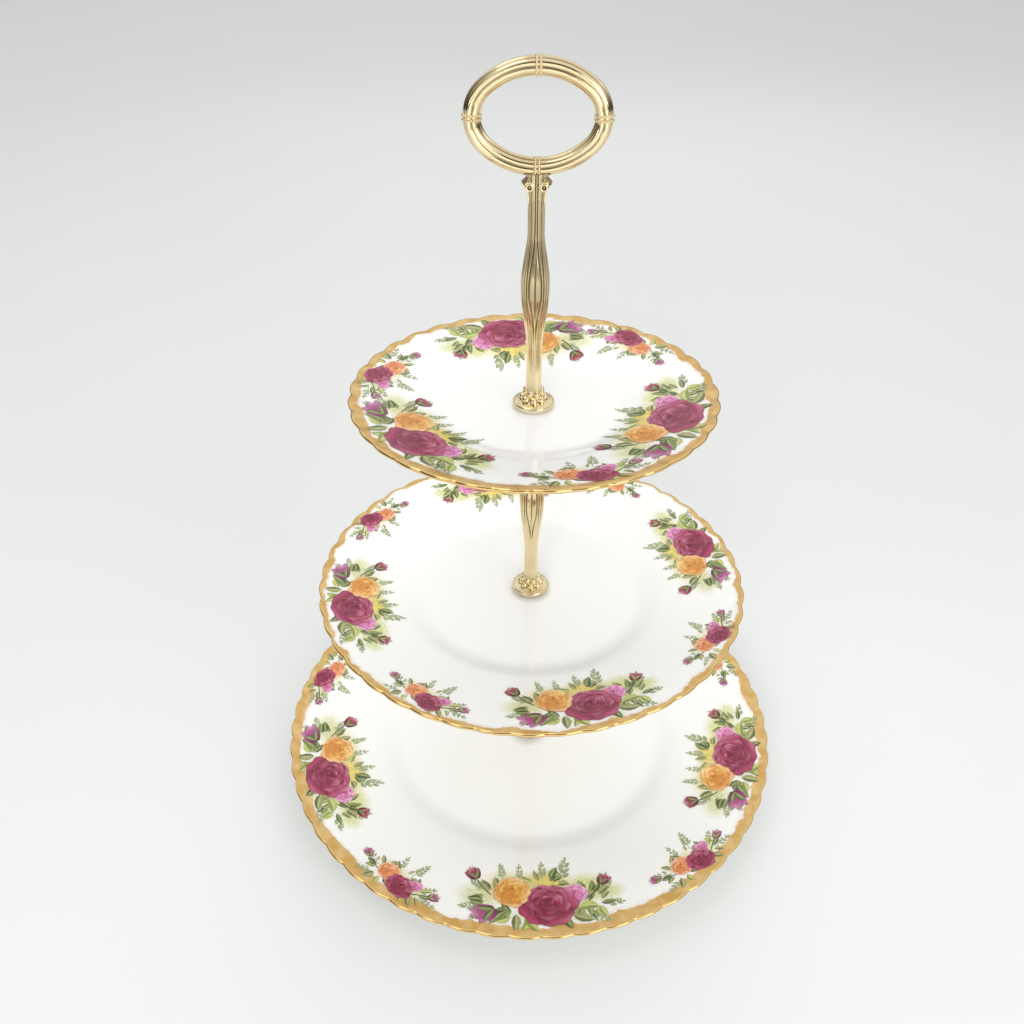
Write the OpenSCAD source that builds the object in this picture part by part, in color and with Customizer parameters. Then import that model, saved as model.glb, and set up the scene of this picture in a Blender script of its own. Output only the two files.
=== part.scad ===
// Three-tier china cake stand: three scalloped plates on two gilt columns, with a ring handle on top.
// Millimetres, +Z up, origin on the table under the centre of the bottom plate.
// The columns and the handle screw together through the plates, so each plate is clamped
// between two soft pads and can be turned about the common axis.

/* [Bottom plate] */
// Diameter over the scallops
bottom_d = 267; // [200:1:320]
// Diameter of the well, at the brow where the rim begins
bottom_well_d = 170; // [120:1:190]
// Height of the rim above the well
bottom_rise = 12.8; // [8:0.1:20]
// Thickness of the well
bottom_t = 3.6; // [2.5:0.1:6]
// Height of the foot ring that stands on the table
bottom_foot_h = 6; // [5.4:0.1:10]
// Number of scallops round the rim
bottom_scallops = 56; // [24:2:72]

/* [Middle plate] */
// Diameter over the scallops
middle_d = 210; // [160:1:260]
// Diameter of the well, at the brow where the rim begins
middle_well_d = 133; // [90:1:150]
// Height of the rim above the well
middle_rise = 11; // [7:0.1:18]
// Thickness of the well
middle_t = 3.5; // [2.5:0.1:6]
// Height of the foot ring
middle_foot_h = 2.6; // [1.5:0.1:6]
// Number of scallops round the rim
middle_scallops = 44; // [24:2:64]

/* [Top plate] */
// Diameter over the scallops
top_d = 160; // [120:1:200]
// Diameter of the well, at the brow where the rim begins
top_well_d = 102; // [70:1:112]
// Height of the rim above the well
top_rise = 9; // [6:0.1:15]
// Thickness of the well
top_t = 3.2; // [2.5:0.1:6]
// Height of the foot ring
top_foot_h = 2.4; // [1.5:0.1:6]
// Number of scallops round the rim
top_scallops = 34; // [20:2:56]

/* [All plates] */
// Thickness at the edge of the rim
edge_t = 2.2; // [1.6:0.1:3.2]
// How far a cusp lies inside the scallops' tips
scallop_depth = 1.0; // [0.4:0.1:2]
// Width of the shoulder between the well and the rim
shoulder_w = 9; // [6:0.5:14]
// Height of the shoulder
shoulder_h = 3.9; // [2:0.1:5]
// Width of a foot ring where it stands
foot_w = 3.0; // [2:0.1:5]
// How far a foot ring's middle lies inside the brow of the well
foot_inset = 12; // [10:0.5:20]
// Diameter of the hole drilled through each plate
hole_d = 9; // [8:0.1:12]

/* [Columns] */
// Height of the lower column
lower_column_h = 99; // [80:1:140]
// Height of the middle column
middle_column_h = 99; // [80:1:140]
// Diameter of the flange at the foot of each column and of the handle
flange_d = 18.2; // [16:0.1:24]
// Thickness of that flange
flange_t = 2; // [1.2:0.1:3]
// Height of the dome on the flange
dome_h = 9; // [9:0.1:14]
// Diameter of the dome where it stands on the flange
dome_d = 13; // [11:0.1:15]
// Diameter of the waist above the dome
waist_d = 6.6; // [6:0.1:9]
// Diameter of the swelling half way up
bulge_d = 11.7; // [9:0.1:14]
// Diameter of the neck under the capital
neck_d = 6.6; // [6:0.1:9]
// Diameter of the capital
capital_d = 12.5; // [11:0.1:15]
// Height of the capital, neck to top
capital_h = 11; // [11:0.1:15]
// Diameter of the collar that carries the plate above
collar_d = 14; // [12:0.1:17]
// Thickness of that collar
collar_t = 2.2; // [1.5:0.1:4]

/* [Handle] */
// Height of the handle's stem, from its flange to the underside of the ring
handle_stem_h = 96.7; // [80:0.1:130]
// Width over the ring
ring_w = 54.6; // [46:0.1:70]
// Height over the ring
ring_h = 40.7; // [36:0.1:50]
// Thickness of the ring's bar
ring_bar_d = 6.5; // [5:0.1:7]
// Radius of the bar's centreline at the ring's two ends
ring_end_r = 13; // [9:0.5:14]
// Diameter of the two scrolls under the ring
scroll_d = 6; // [4:0.1:7]

/* [Screws and fittings] */
// Thread diameter of the studs and the base screw
thread_d = 5; // [4:0.5:5]
// Length of thread inside a flange
flange_grip = 8; // [6:0.1:8.4]
// Length of thread inside a capital
capital_grip = 9; // [6:0.1:9]
// Thickness of the metal washers
washer_t = 1; // [0.6:0.1:1.2]
// Diameter of the metal washers
washer_d = 14; // [12:0.1:20]
// Thickness of the soft pads
pad_t = 1; // [0.6:0.1:1.2]
// Diameter of the soft pads
pad_d = 16; // [13:0.1:18]
// Diameter of the base screw's head
head_d = 10; // [8:0.1:12]
// Height of the base screw's head
head_h = 2.6; // [1.8:0.1:2.8]

/* [Clearances] */
// Radial play between a thread and its tapped hole
thread_play = 0.05; // [0.02:0.01:0.08]
// Radial play between a stud and the bush that a plate turns on
bush_play = 0.08; // [0.03:0.01:0.1]
// Radial gap between a bush and its plate
bush_gap = 0.1; // [0.05:0.05:0.3]
// Radial gap between a stud and the pads and washers round it
stud_gap = 0.4; // [0.3:0.05:0.6]
// Free depth below the end of a stud in its hole
end_gap = 0.6; // [0.3:0.1:0.8]

/* [Hidden] */

// Heights, from the table up
bottom_under_z = bottom_foot_h;
bottom_seat_z = bottom_under_z + bottom_t;
lower_column_z = bottom_seat_z + pad_t;
middle_washer_z = lower_column_z + lower_column_h;
middle_under_z = middle_washer_z + washer_t + pad_t;
middle_seat_z = middle_under_z + middle_t;
middle_column_z = middle_seat_z + pad_t;
top_washer_z = middle_column_z + middle_column_h;
top_under_z = top_washer_z + washer_t + pad_t;
top_seat_z = top_under_z + top_t;
handle_z = top_seat_z + pad_t;
base_washer_z = bottom_under_z - pad_t - washer_t;

thread_r = thread_d / 2;
tapped_r = thread_r + thread_play;
// Chamfer round a flange
flange_chamfer = 0.4;
// A capital flares out over flare_h, and draws in by cove_r over cove_h under its collar
flare_h = 2.2;
cove_h = 2;
cove_r = 1;
// How much lower the handle's capital is than a column's, and how far it runs into the ring
handle_cap_drop = 2;
ring_sink = 1.2;
// How far the handle's scrolls start above its neck
scroll_gap = 0.6;
// Width of a foot ring at its root, over its width where it stands
foot_spread = 1.6;
// Driver slot of the base screw
slot_w = 1.2;
slot_depth = 1.2;
// How far a cut runs past the face it opens
over = 1;

scallop_steps = 6;
shoulder_steps = 8;
shaft_steps = 22;
ring_steps = 12;
bar_sides = 12;
round_fn = 96;
small_fn = 48;

// Shares of a shaft's length at which the waist ends, the swelling is widest and the neck begins
waist_end = 0.2;
bulge_at = 0.56;
neck_start = 0.83;
// Under 1 makes the swelling fuller
swell_power = 0.8;

// ---- Shared curves ----

// Smooth step from 0 to 1
function ease(u) = u * u * (3 - 2 * u);

// Rise from 0 to h over a width w, level at its start and with slope m at its end
function shoulder(u, h, m, w) = h * ease(u) + m * w * (u * u * u - u * u);

// Radius part way from a narrow diameter to the swelling
function swell_r(narrow_d, share) = (narrow_d + (bulge_d - narrow_d) * pow(ease(share), swell_power)) / 2;

// Radius of a shaft at share u of its length
function shaft_r(u) =
    u < waist_end ? waist_d / 2 :
    u < bulge_at ? swell_r(waist_d, (u - waist_end) / (bulge_at - waist_end)) :
    u < neck_start ? swell_r(neck_d, (neck_start - u) / (neck_start - bulge_at)) :
    neck_d / 2;

// Points of an arc about [x, z]
function arc(x, z, r, a0, a1, steps) =
    [for (i = [0:steps]) let (a = a0 + (a1 - a0) * i / steps) [x + r * cos(a), z + r * sin(a)]];

// ---- Plates ----

// Section of a plate: well at z = 0, shoulder, straight rim with a rounded edge, foot ring below
module plate_section(d, well_d, rise, t, foot_h) {
    brow_r = well_d / 2;
    floor_r = brow_r - shoulder_w;
    edge_r = edge_t / 2;
    lip_r = d / 2 - edge_r;
    slope = (rise - shoulder_h) / (lip_r - brow_r);
    top_side = [for (i = [0:shoulder_steps]) let (u = i / shoulder_steps)
                [floor_r + shoulder_w * u, shoulder(u, shoulder_h, slope, shoulder_w)]];
    edge = arc(lip_r, rise - edge_r, edge_r, 90, -90, 6);
    under_side = [for (i = [shoulder_steps:-1:0]) let (u = i / shoulder_steps)
                  [floor_r + shoulder_w * u, shoulder(u, shoulder_h, slope, shoulder_w) - t]];
    foot_r = brow_r - foot_inset;
    stand_w = foot_w / 2;
    root_w = stand_w * foot_spread;
    foot = [[foot_r + root_w, -t], [foot_r + stand_w, -t - foot_h],
            [foot_r - stand_w, -t - foot_h], [foot_r - root_w, -t]];
    polygon(concat([[hole_d / 2, 0]], top_side, edge, under_side, foot, [[hole_d / 2, -t]]));
}

// Rounded lobes that meet in cusps
function scallop_r(d, n, a) = d / 2 - scallop_depth * (1 - abs(cos(n * a / 2)));

module scallop_outline(d, n) {
    steps = n * scallop_steps;
    polygon([for (i = [0:steps - 1]) let (a = 360 * i / steps, r = scallop_r(d, n, a))
             [r * cos(a), r * sin(a)]]);
}

module plate(d, well_d, rise, t, foot_h, n) {
    intersection() {
        rotate_extrude($fn = round_fn) plate_section(d, well_d, rise, t, foot_h);
        translate([0, 0, -t - foot_h - over])
            linear_extrude(height = t + foot_h + rise + 2 * over) scallop_outline(d, n);
    }
}

module bottom_plate() {
    color("#f4f4ee") translate([0, 0, bottom_seat_z])
        plate(bottom_d, bottom_well_d, bottom_rise, bottom_t, bottom_foot_h, bottom_scallops);
}

module middle_plate() {
    color("#f4f4ee") translate([0, 0, middle_seat_z])
        plate(middle_d, middle_well_d, middle_rise, middle_t, middle_foot_h, middle_scallops);
}

module top_plate() {
    color("#f4f4ee") translate([0, 0, top_seat_z])
        plate(top_d, top_well_d, top_rise, top_t, top_foot_h, top_scallops);
}

// ---- Flat rings: bushes, pads and washers ----

module flat_ring(outer_d, inner_d, h) {
    difference() {
        cylinder(d = outer_d, h = h, $fn = round_fn);
        translate([0, 0, -over]) cylinder(d = inner_d, h = h + 2 * over, $fn = round_fn);
    }
}

module bush(z, h) {
    color("#e8e2d0") translate([0, 0, z])
        flat_ring(hole_d - 2 * bush_gap, thread_d + 2 * bush_play, h);
}

module pad(z) {
    color("#d9d4c8") translate([0, 0, z]) flat_ring(pad_d, thread_d + 2 * stud_gap, pad_t);
}

module washer(z) {
    color("#c9a24a") translate([0, 0, z]) flat_ring(washer_d, thread_d + 2 * stud_gap, washer_t);
}

module bottom_bush() { bush(bottom_under_z, bottom_t); }
module middle_bush() { bush(middle_under_z, middle_t); }
module top_bush() { bush(top_under_z, top_t); }

module bottom_lower_pad() { pad(bottom_under_z - pad_t); }
module bottom_upper_pad() { pad(bottom_seat_z); }
module middle_lower_pad() { pad(middle_under_z - pad_t); }
module middle_upper_pad() { pad(middle_seat_z); }
module top_lower_pad() { pad(top_under_z - pad_t); }
module top_upper_pad() { pad(top_seat_z); }

module base_washer() { washer(base_washer_z); }
module middle_washer() { washer(middle_washer_z); }
module top_washer() { washer(top_washer_z); }

// ---- Columns and handle ----

// Outline from the flange up to the neck, for a stem whose neck ends at height neck_top
function stem_outline(neck_top) = let (dome_top = flange_t + dome_h) concat(
    [[0, 0], [flange_d / 2 - flange_chamfer, 0], [flange_d / 2, flange_chamfer],
     [flange_d / 2, flange_t - flange_chamfer], [flange_d / 2 - flange_chamfer, flange_t]],
    [for (i = [0:6]) let (u = i / 6)
     [dome_d / 2 + (waist_d - dome_d) / 2 * sin(90 * u), flange_t + dome_h * (1 - cos(90 * u))]],
    [for (i = [1:shaft_steps]) let (u = i / shaft_steps)
     [shaft_r(u), dome_top + (neck_top - dome_top) * u]]);

// Tapped hole in the foot of a stem
module flange_hole() {
    translate([0, 0, -over]) cylinder(r = tapped_r, h = over + flange_grip + end_gap, $fn = small_fn);
}

module column(h) {
    neck_top = h - capital_h;
    difference() {
        rotate_extrude($fn = round_fn) polygon(concat(stem_outline(neck_top), [
            [capital_d / 2, neck_top + flare_h], [capital_d / 2, h - collar_t - cove_h],
            [capital_d / 2 - cove_r, h - collar_t - cove_h * 0.4],
            [collar_d / 2, h - collar_t], [collar_d / 2, h], [0, h]]));
        flange_hole();
        translate([0, 0, h - capital_grip - end_gap])
            cylinder(r = tapped_r, h = capital_grip + end_gap + over, $fn = small_fn);
    }
}

module lower_column() { color("#d4a84b") translate([0, 0, lower_column_z]) column(lower_column_h); }
module middle_column() { color("#d4a84b") translate([0, 0, middle_column_z]) column(middle_column_h); }

// Points [x, z, direction outwards] along an arc in the plane of the ring
function ring_arc(x, z, r, a0, a1) =
    [for (i = [0:ring_steps - 1]) let (a = a0 + (a1 - a0) * i / ring_steps) [x + r * cos(a), z + r * sin(a), a]];

// Oval of two end arcs and two long arcs that meet smoothly, swept with a round bar
module ring() {
    half_w = (ring_w - ring_bar_d) / 2;
    half_h = (ring_h - ring_bar_d) / 2;
    end_x = half_w - ring_end_r;
    long_r = (end_x * end_x + half_h * half_h - ring_end_r * ring_end_r) / (2 * (half_h - ring_end_r));
    long_z = long_r - half_h;
    meet = atan2(long_z, end_x);
    path = concat(ring_arc(end_x, 0, ring_end_r, -meet, meet),
                  ring_arc(0, -long_z, long_r, meet, 180 - meet),
                  ring_arc(-end_x, 0, ring_end_r, 180 - meet, 180 + meet),
                  ring_arc(0, long_z, long_r, 180 + meet, 360 - meet));
    count = len(path);
    points = [for (p = path, j = [0:bar_sides - 1]) let (b = 360 * j / bar_sides, q = ring_bar_d / 2 * cos(b))
              [p[0] + q * cos(p[2]), ring_bar_d / 2 * sin(b), p[1] + q * sin(p[2])]];
    faces = [for (i = [0:count - 1], j = [0:bar_sides - 1])
             let (k = (i + 1) % count, m = (j + 1) % bar_sides)
             [i * bar_sides + j, k * bar_sides + j, k * bar_sides + m, i * bar_sides + m]];
    polyhedron(points, faces, convexity = 4);
}

module handle() {
    neck_top = handle_stem_h - capital_h + handle_cap_drop;
    scroll_z = neck_top + scroll_d / 2 + scroll_gap;
    color("#d4a84b") translate([0, 0, handle_z]) {
        difference() {
            rotate_extrude($fn = round_fn) polygon(concat(stem_outline(neck_top), [
                [neck_d / 2 + cove_r, neck_top + ring_sink], [neck_d / 2 + cove_r, handle_stem_h + ring_sink],
                [0, handle_stem_h + ring_sink]]));
            flange_hole();
        }
        for (side = [-1, 1])
            translate([side * (capital_d - scroll_d) / 2, scroll_d / 2, scroll_z])
                rotate([90, 0, 0]) cylinder(d = scroll_d, h = scroll_d, $fn = small_fn);
        translate([0, 0, handle_stem_h + ring_h / 2]) ring();
    }
}

// ---- Studs and screw ----

module lower_stud() {
    z = middle_washer_z - capital_grip;
    color("#b9bcc0") translate([0, 0, z])
        cylinder(d = thread_d, h = middle_column_z + flange_grip - z, $fn = small_fn);
}

module middle_stud() {
    z = top_washer_z - capital_grip;
    color("#b9bcc0") translate([0, 0, z])
        cylinder(d = thread_d, h = handle_z + flange_grip - z, $fn = small_fn);
}

// Pan-head screw that closes the stack from below
module base_screw() {
    color("#b9bcc0") difference() {
        union() {
            translate([0, 0, base_washer_z - head_h]) cylinder(d = head_d, h = head_h, $fn = round_fn);
            translate([0, 0, base_washer_z - head_h / 2])
                cylinder(d = thread_d, h = lower_column_z + flange_grip - base_washer_z + head_h / 2, $fn = small_fn);
        }
        translate([-head_d, -slot_w / 2, base_washer_z - head_h - over])
            cube([2 * head_d, slot_w, over + slot_depth]);
    }
}

bottom_plate();
middle_plate();
top_plate();
bottom_bush();
middle_bush();
top_bush();
bottom_lower_pad();
bottom_upper_pad();
middle_lower_pad();
middle_upper_pad();
top_lower_pad();
top_upper_pad();
lower_column();
middle_column();
handle();
lower_stud();
middle_stud();
base_screw();
base_washer();
middle_washer();
top_washer();
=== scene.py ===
"""Looks of a three-tier china cake stand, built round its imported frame.

Every size is in metres in the frame's own axes. The plates are scalloped bone china with gilt rims
and enamelled rose sprays; the columns and the ring handle are polished gilt castings.
"""

import logging
import math
import random
from collections.abc import Callable, Sequence
from dataclasses import dataclass
from enum import Enum

import bmesh
import bpy
import numpy as np
from mathutils import Matrix, Vector


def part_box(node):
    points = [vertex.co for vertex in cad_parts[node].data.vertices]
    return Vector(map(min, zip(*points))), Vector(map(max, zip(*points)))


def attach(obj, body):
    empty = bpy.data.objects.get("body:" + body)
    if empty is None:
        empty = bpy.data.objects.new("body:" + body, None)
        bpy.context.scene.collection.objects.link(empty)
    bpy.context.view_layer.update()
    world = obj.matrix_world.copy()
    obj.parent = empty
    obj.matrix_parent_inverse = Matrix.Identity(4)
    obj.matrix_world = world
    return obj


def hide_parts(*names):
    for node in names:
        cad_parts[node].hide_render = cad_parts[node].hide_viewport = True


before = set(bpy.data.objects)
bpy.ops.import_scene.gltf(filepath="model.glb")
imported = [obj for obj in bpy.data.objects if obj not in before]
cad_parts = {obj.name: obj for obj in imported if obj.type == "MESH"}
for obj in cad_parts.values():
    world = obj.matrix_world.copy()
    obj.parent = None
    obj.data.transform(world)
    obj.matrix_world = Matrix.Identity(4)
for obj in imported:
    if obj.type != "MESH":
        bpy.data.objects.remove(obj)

MM = 0.001
Colour = tuple[float, float, float]
Profile = list[tuple[float, float]]
Shape = Callable[[int, float, float], tuple[float, float]]
log = logging.getLogger("cake_stand")


# ---- Small helpers ----

def srgb(code: str) -> Colour:
    """Linear colour of a #rrggbb code."""
    parts = [int(code[i:i + 2], 16) / 255 for i in (1, 3, 5)]
    return tuple(c / 12.92 if c <= 0.04045 else ((c + 0.055) / 1.055) ** 2.4 for c in parts)


def mix(a: Colour, b: Colour, t: float) -> Colour:
    """Blend of two colours, a at 0 and b at 1."""
    t = min(max(t, 0.0), 1.0)
    return tuple(x + (y - x) * t for x, y in zip(a, b, strict=True))


def ease(t: float) -> float:
    """Smooth step from 0 to 1, held outside."""
    t = min(max(t, 0.0), 1.0)
    return t * t * (3 - 2 * t)


def grid_faces(rows: int, cols: int, close_cols: bool) -> list[tuple[int, ...]]:
    """Quads of a grid of vertices stored row by row.

    Args:
        rows: Number of rows.
        cols: Number of vertices in a row.
        close_cols: Whether each row joins up with its own start.

    Returns:
        One tuple of four vertex numbers for each quad.
    """
    last = cols if close_cols else cols - 1
    return [(r * cols + c, r * cols + (c + 1) % cols, (r + 1) * cols + (c + 1) % cols, (r + 1) * cols + c)
            for r in range(rows - 1) for c in range(last)]


def linked(name: str, data: bpy.types.ID) -> bpy.types.Object:
    """A new object in the scene on some data."""
    result = bpy.data.objects.new(name, data)
    bpy.context.scene.collection.objects.link(result)
    return result


def mark(piece: bpy.types.Object, label: str, values: Sequence, kind: str = "FLOAT",
         field: str = "value") -> None:
    """Stores a number, or a colour, at each vertex."""
    layer = piece.data.attributes.new(label, kind, "POINT")
    layer.data.foreach_set(field, np.array(values, np.float32).ravel())


def mesh_piece(name: str, points: Sequence, faces: Sequence, closed: bool = True) -> bpy.types.Object:
    """Makes a smooth-shaded mesh object at the origin.

    Args:
        name: Name of the piece.
        points: Vertex positions in metres.
        faces: Vertex numbers of each face.
        closed: Whether it is a closed shell, whose faces are then turned outwards.

    Returns:
        The linked object.
    """
    mesh = bpy.data.meshes.new(name)
    mesh.from_pydata([tuple(p) for p in points], [], [tuple(f) for f in faces])
    mesh.validate()
    if closed:
        work = bmesh.new()
        work.from_mesh(mesh)
        bmesh.ops.recalc_face_normals(work, faces=work.faces)
        if work.calc_volume(signed=True) < 0:
            bmesh.ops.reverse_faces(work, faces=work.faces)
        work.to_mesh(mesh)
        work.free()
    mesh.shade_smooth()
    return linked(name, mesh)


def lathe(name: str, profile: Profile, segments: int, shape: Shape | None = None) -> bpy.types.Object:
    """Turns a profile about the Z axis into a closed shell.

    Args:
        name: Name of the piece.
        profile: (radius, height) points. It starts and ends on the axis, or is a closed loop off it.
        segments: Steps in a full turn.
        shape: Radius and recess share from (row, radius, angle), for lobes and grooves.

    Returns:
        The linked object, with the recess shares as an attribute.
    """
    on_axis = profile[0][0] == 0
    rows = profile[1:-1] if on_axis else profile + profile[:1]
    angles = [2 * math.pi * i / segments for i in range(segments)]
    points, recess = [], []
    for row, (radius, height) in enumerate(rows):
        for angle in angles:
            r, sunk = shape(row, radius, angle) if shape else (radius, 0.0)
            points.append((r * math.cos(angle), r * math.sin(angle), height))
            recess.append(sunk)
    faces = grid_faces(len(rows), segments, True)
    last = (len(rows) - 1) * segments
    if on_axis:
        low, high = len(points), len(points) + 1
        points += [(0, 0, profile[0][1]), (0, 0, profile[-1][1])]
        for i in range(segments):
            j = (i + 1) % segments
            faces.append((low, j, i))
            faces.append((high, last + i, last + j))
        piece = mesh_piece(name, points, faces)
    else:
        faces = [tuple(v - last if v >= last else v for v in f) for f in faces]
        piece = mesh_piece(name, points[:last], faces)
    if shape:
        recess += [0.0, 0.0]
        mark(piece, "recess", recess[:len(piece.data.vertices)])
    return piece


def tube(name: str, path: Sequence[Vector], radius: float, sides: int = 8) -> bpy.types.Object:
    """Sweeps a round bar with narrowed ends along a path.

    Args:
        name: Name of the piece.
        path: Points along the bar's middle.
        radius: Radius of the bar.
        sides: Corners of its section.

    Returns:
        The linked object.
    """
    points, count = [], len(path)
    for i, spot in enumerate(path):
        along = (path[min(i + 1, count - 1)] - path[max(i - 1, 0)]).normalized()
        side = along.cross(Vector((0, 1, 0))).normalized()
        lift = side.cross(along)
        r = radius * (0.45 if i in (0, count - 1) else 1.0)
        for j in range(sides):
            turn = 2 * math.pi * j / sides
            points.append(spot + side * (r * math.cos(turn)) + lift * (r * math.sin(turn)))
    faces = grid_faces(count, sides, True)
    faces += [tuple(range(sides)), tuple(range((count - 1) * sides, count * sides))]
    return mesh_piece(name, points, faces)


def arc_points(cx: float, cz: float, r: float, a0: float, a1: float, steps: int) -> Profile:
    """Points on an arc about (cx, cz) from angle a0 to a1, in degrees."""
    turn = [math.radians(a0 + (a1 - a0) * i / steps) for i in range(steps + 1)]
    return [(cx + r * math.cos(a), cz + r * math.sin(a)) for a in turn]


def place(piece: bpy.types.Object, body: str, slot: str, *nodes: str) -> bpy.types.Object:
    """Lets a finished piece ride on a body in place of CAD nodes, and reports it."""
    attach(piece, body)
    if nodes:
        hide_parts(*nodes)
    log.info("%s rides on %s, %d faces", piece.name, body, len(piece.data.polygons))
    return piece


def joined(name: str, pieces: Sequence[bpy.types.Object]) -> bpy.types.Object:
    """One mesh object made of several that share a material."""
    work = bmesh.new()
    for piece in pieces:
        work.from_mesh(piece.data)
    mesh = bpy.data.meshes.new(name)
    work.to_mesh(mesh)
    work.free()
    for material in pieces[0].data.materials:
        mesh.materials.append(material)
    for piece in pieces:
        bpy.data.objects.remove(piece)
    return linked(name, mesh)


# ---- Node trees ----

class Tree:
    """A node tree with short calls to add nodes and join them."""

    def __init__(self, tree: bpy.types.NodeTree) -> None:
        """Keeps the tree."""
        self.tree = tree

    def feed(self, node: bpy.types.Node, inputs: dict) -> bpy.types.Node:
        """Sets a node's inputs.

        Args:
            node: The node.
            inputs: Socket name or number to a value, to an output socket, or to a node whose first
                output feeds it.

        Returns:
            The same node.
        """
        for key, value in inputs.items():
            if isinstance(value, bpy.types.Node):
                value = value.outputs[0]
            if isinstance(value, bpy.types.NodeSocket):
                self.tree.links.new(value, node.inputs[key])
            else:
                node.inputs[key].default_value = value
        return node

    def add(self, kind: str, inputs: dict | None = None, **settings: object) -> bpy.types.Node:
        """Adds a node.

        Args:
            kind: Type name of the node.
            inputs: What its inputs hold, as for feed.
            settings: Properties of the node.

        Returns:
            The new node.
        """
        node = self.tree.nodes.new(kind)
        for key, value in settings.items():
            setattr(node, key, value)
        return self.feed(node, inputs or {})

    def math(self, operation: str, a: object, b: object = 0.0, clamp: bool = False) -> bpy.types.NodeSocket:
        """Result of one arithmetic step on two numbers or sockets."""
        return self.add("ShaderNodeMath", {0: a, 1: b}, operation=operation, use_clamp=clamp).outputs[0]

    def plus(self, a: object, b: object) -> bpy.types.NodeSocket:
        """Sum of two numbers or sockets."""
        return self.math("ADD", a, b)

    def minus(self, a: object, b: object) -> bpy.types.NodeSocket:
        """Difference of two numbers or sockets."""
        return self.math("SUBTRACT", a, b)

    def times(self, a: object, b: object) -> bpy.types.NodeSocket:
        """Product of two numbers or sockets."""
        return self.math("MULTIPLY", a, b)

    def ramp(self, value: object, low: object, high: object, start: float = 0.0, end: float = 1.0,
             ) -> bpy.types.NodeSocket:
        """Smooth change from start to end as a value goes from low to high."""
        span = {"Value": value, "From Min": low, "From Max": high, "To Min": start, "To Max": end}
        return self.add("ShaderNodeMapRange", span, interpolation_type="SMOOTHSTEP").outputs[0]

    def blend(self, share: object, a: object, b: object) -> bpy.types.NodeSocket:
        """Mix of two colours by a share."""
        ends = [c if isinstance(c, bpy.types.NodeSocket) else (*c, 1.0) for c in (a, b)]
        return self.add("ShaderNodeMix", {0: share, 6: ends[0], 7: ends[1]}, data_type="RGBA").outputs[2]

    def vector(self, x: object = 0.0, y: object = 0.0, z: object = 0.0) -> bpy.types.NodeSocket:
        """Vector of three numbers or sockets."""
        return self.add("ShaderNodeCombineXYZ", {0: x, 1: y, 2: z}).outputs[0]

    def parts(self, vector: bpy.types.NodeSocket) -> Sequence[bpy.types.NodeSocket]:
        """The three numbers of a vector."""
        return self.add("ShaderNodeSeparateXYZ", {0: vector}).outputs

    def here(self) -> bpy.types.NodeSocket:
        """The shaded point in the piece's own axes."""
        return self.add("ShaderNodeTexCoord").outputs["Object"]

    def stored(self, label: str) -> bpy.types.NodeSocket:
        """A number stored on the mesh."""
        return self.add("ShaderNodeAttribute", attribute_name=label).outputs["Fac"]

    def noise(self, where: object, scale: object, detail: float, distortion: float = 0.0,
              ) -> bpy.types.NodeSocket:
        """Cloudy value from 0 to 1."""
        return self.add("ShaderNodeTexNoise", {"Vector": where, "Scale": scale, "Detail": detail,
                                               "Distortion": distortion}).outputs[0]


def new_group(name: str, kind: str, inputs: dict[str, float | str], outputs: dict[str, str]) -> tuple:
    """Makes a node group with named sockets.

    Args:
        name: Name of the group.
        kind: ShaderNodeTree or GeometryNodeTree.
        inputs: Name of each input to its default number, or to its kind of socket.
        outputs: Name of each output to its kind of socket.

    Returns:
        The Tree, the sockets that bring the inputs in, and the output node.
    """
    group = bpy.data.node_groups.new(name, kind)
    for label, value in inputs.items():
        word = value if isinstance(value, str) else type(value).__name__.capitalize()
        item = group.interface.new_socket(label, in_out="INPUT", socket_type=f"NodeSocket{word}")
        if word != value:
            item.default_value = value
    for label, word in outputs.items():
        group.interface.new_socket(label, in_out="OUTPUT", socket_type=f"NodeSocket{word}")
    tree = Tree(group)
    return tree, tree.add("NodeGroupInput").outputs, tree.add("NodeGroupOutput")


def settle(piece: bpy.types.Object) -> bpy.types.Object:
    """Gives a piece the plain mesh that its modifiers make."""
    bpy.context.view_layer.update()
    graph = bpy.context.evaluated_depsgraph_get()
    mesh = bpy.data.meshes.new_from_object(piece.evaluated_get(graph), preserve_all_data_layers=True,
                                           depsgraph=graph)
    piece.modifiers.clear()
    piece.data = mesh
    mesh.name = piece.name
    return piece


def apply_tree(piece: bpy.types.Object, group: bpy.types.NodeTree, values: dict) -> bpy.types.Object:
    """Runs a geometry tree on a piece and keeps the result as its plain mesh.

    Args:
        piece: Object whose mesh goes into the tree.
        group: Geometry node group.
        values: Input name to value.

    Returns:
        The same object with its new mesh and no modifier.
    """
    modifier = piece.modifiers.new(group.name, "NODES")
    modifier.node_group = group
    for item in group.interface.items_tree:
        if item.item_type == "SOCKET" and item.in_out == "INPUT" and item.name in values:
            modifier[item.identifier] = values[item.name]
    return settle(piece)


def seed_mesh(name: str) -> bpy.types.Object:
    """An object with one vertex, for trees that make all their own geometry."""
    mesh = bpy.data.meshes.new(name)
    mesh.from_pydata([(0, 0, 0)], [], [])
    return linked(name, mesh)


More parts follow.
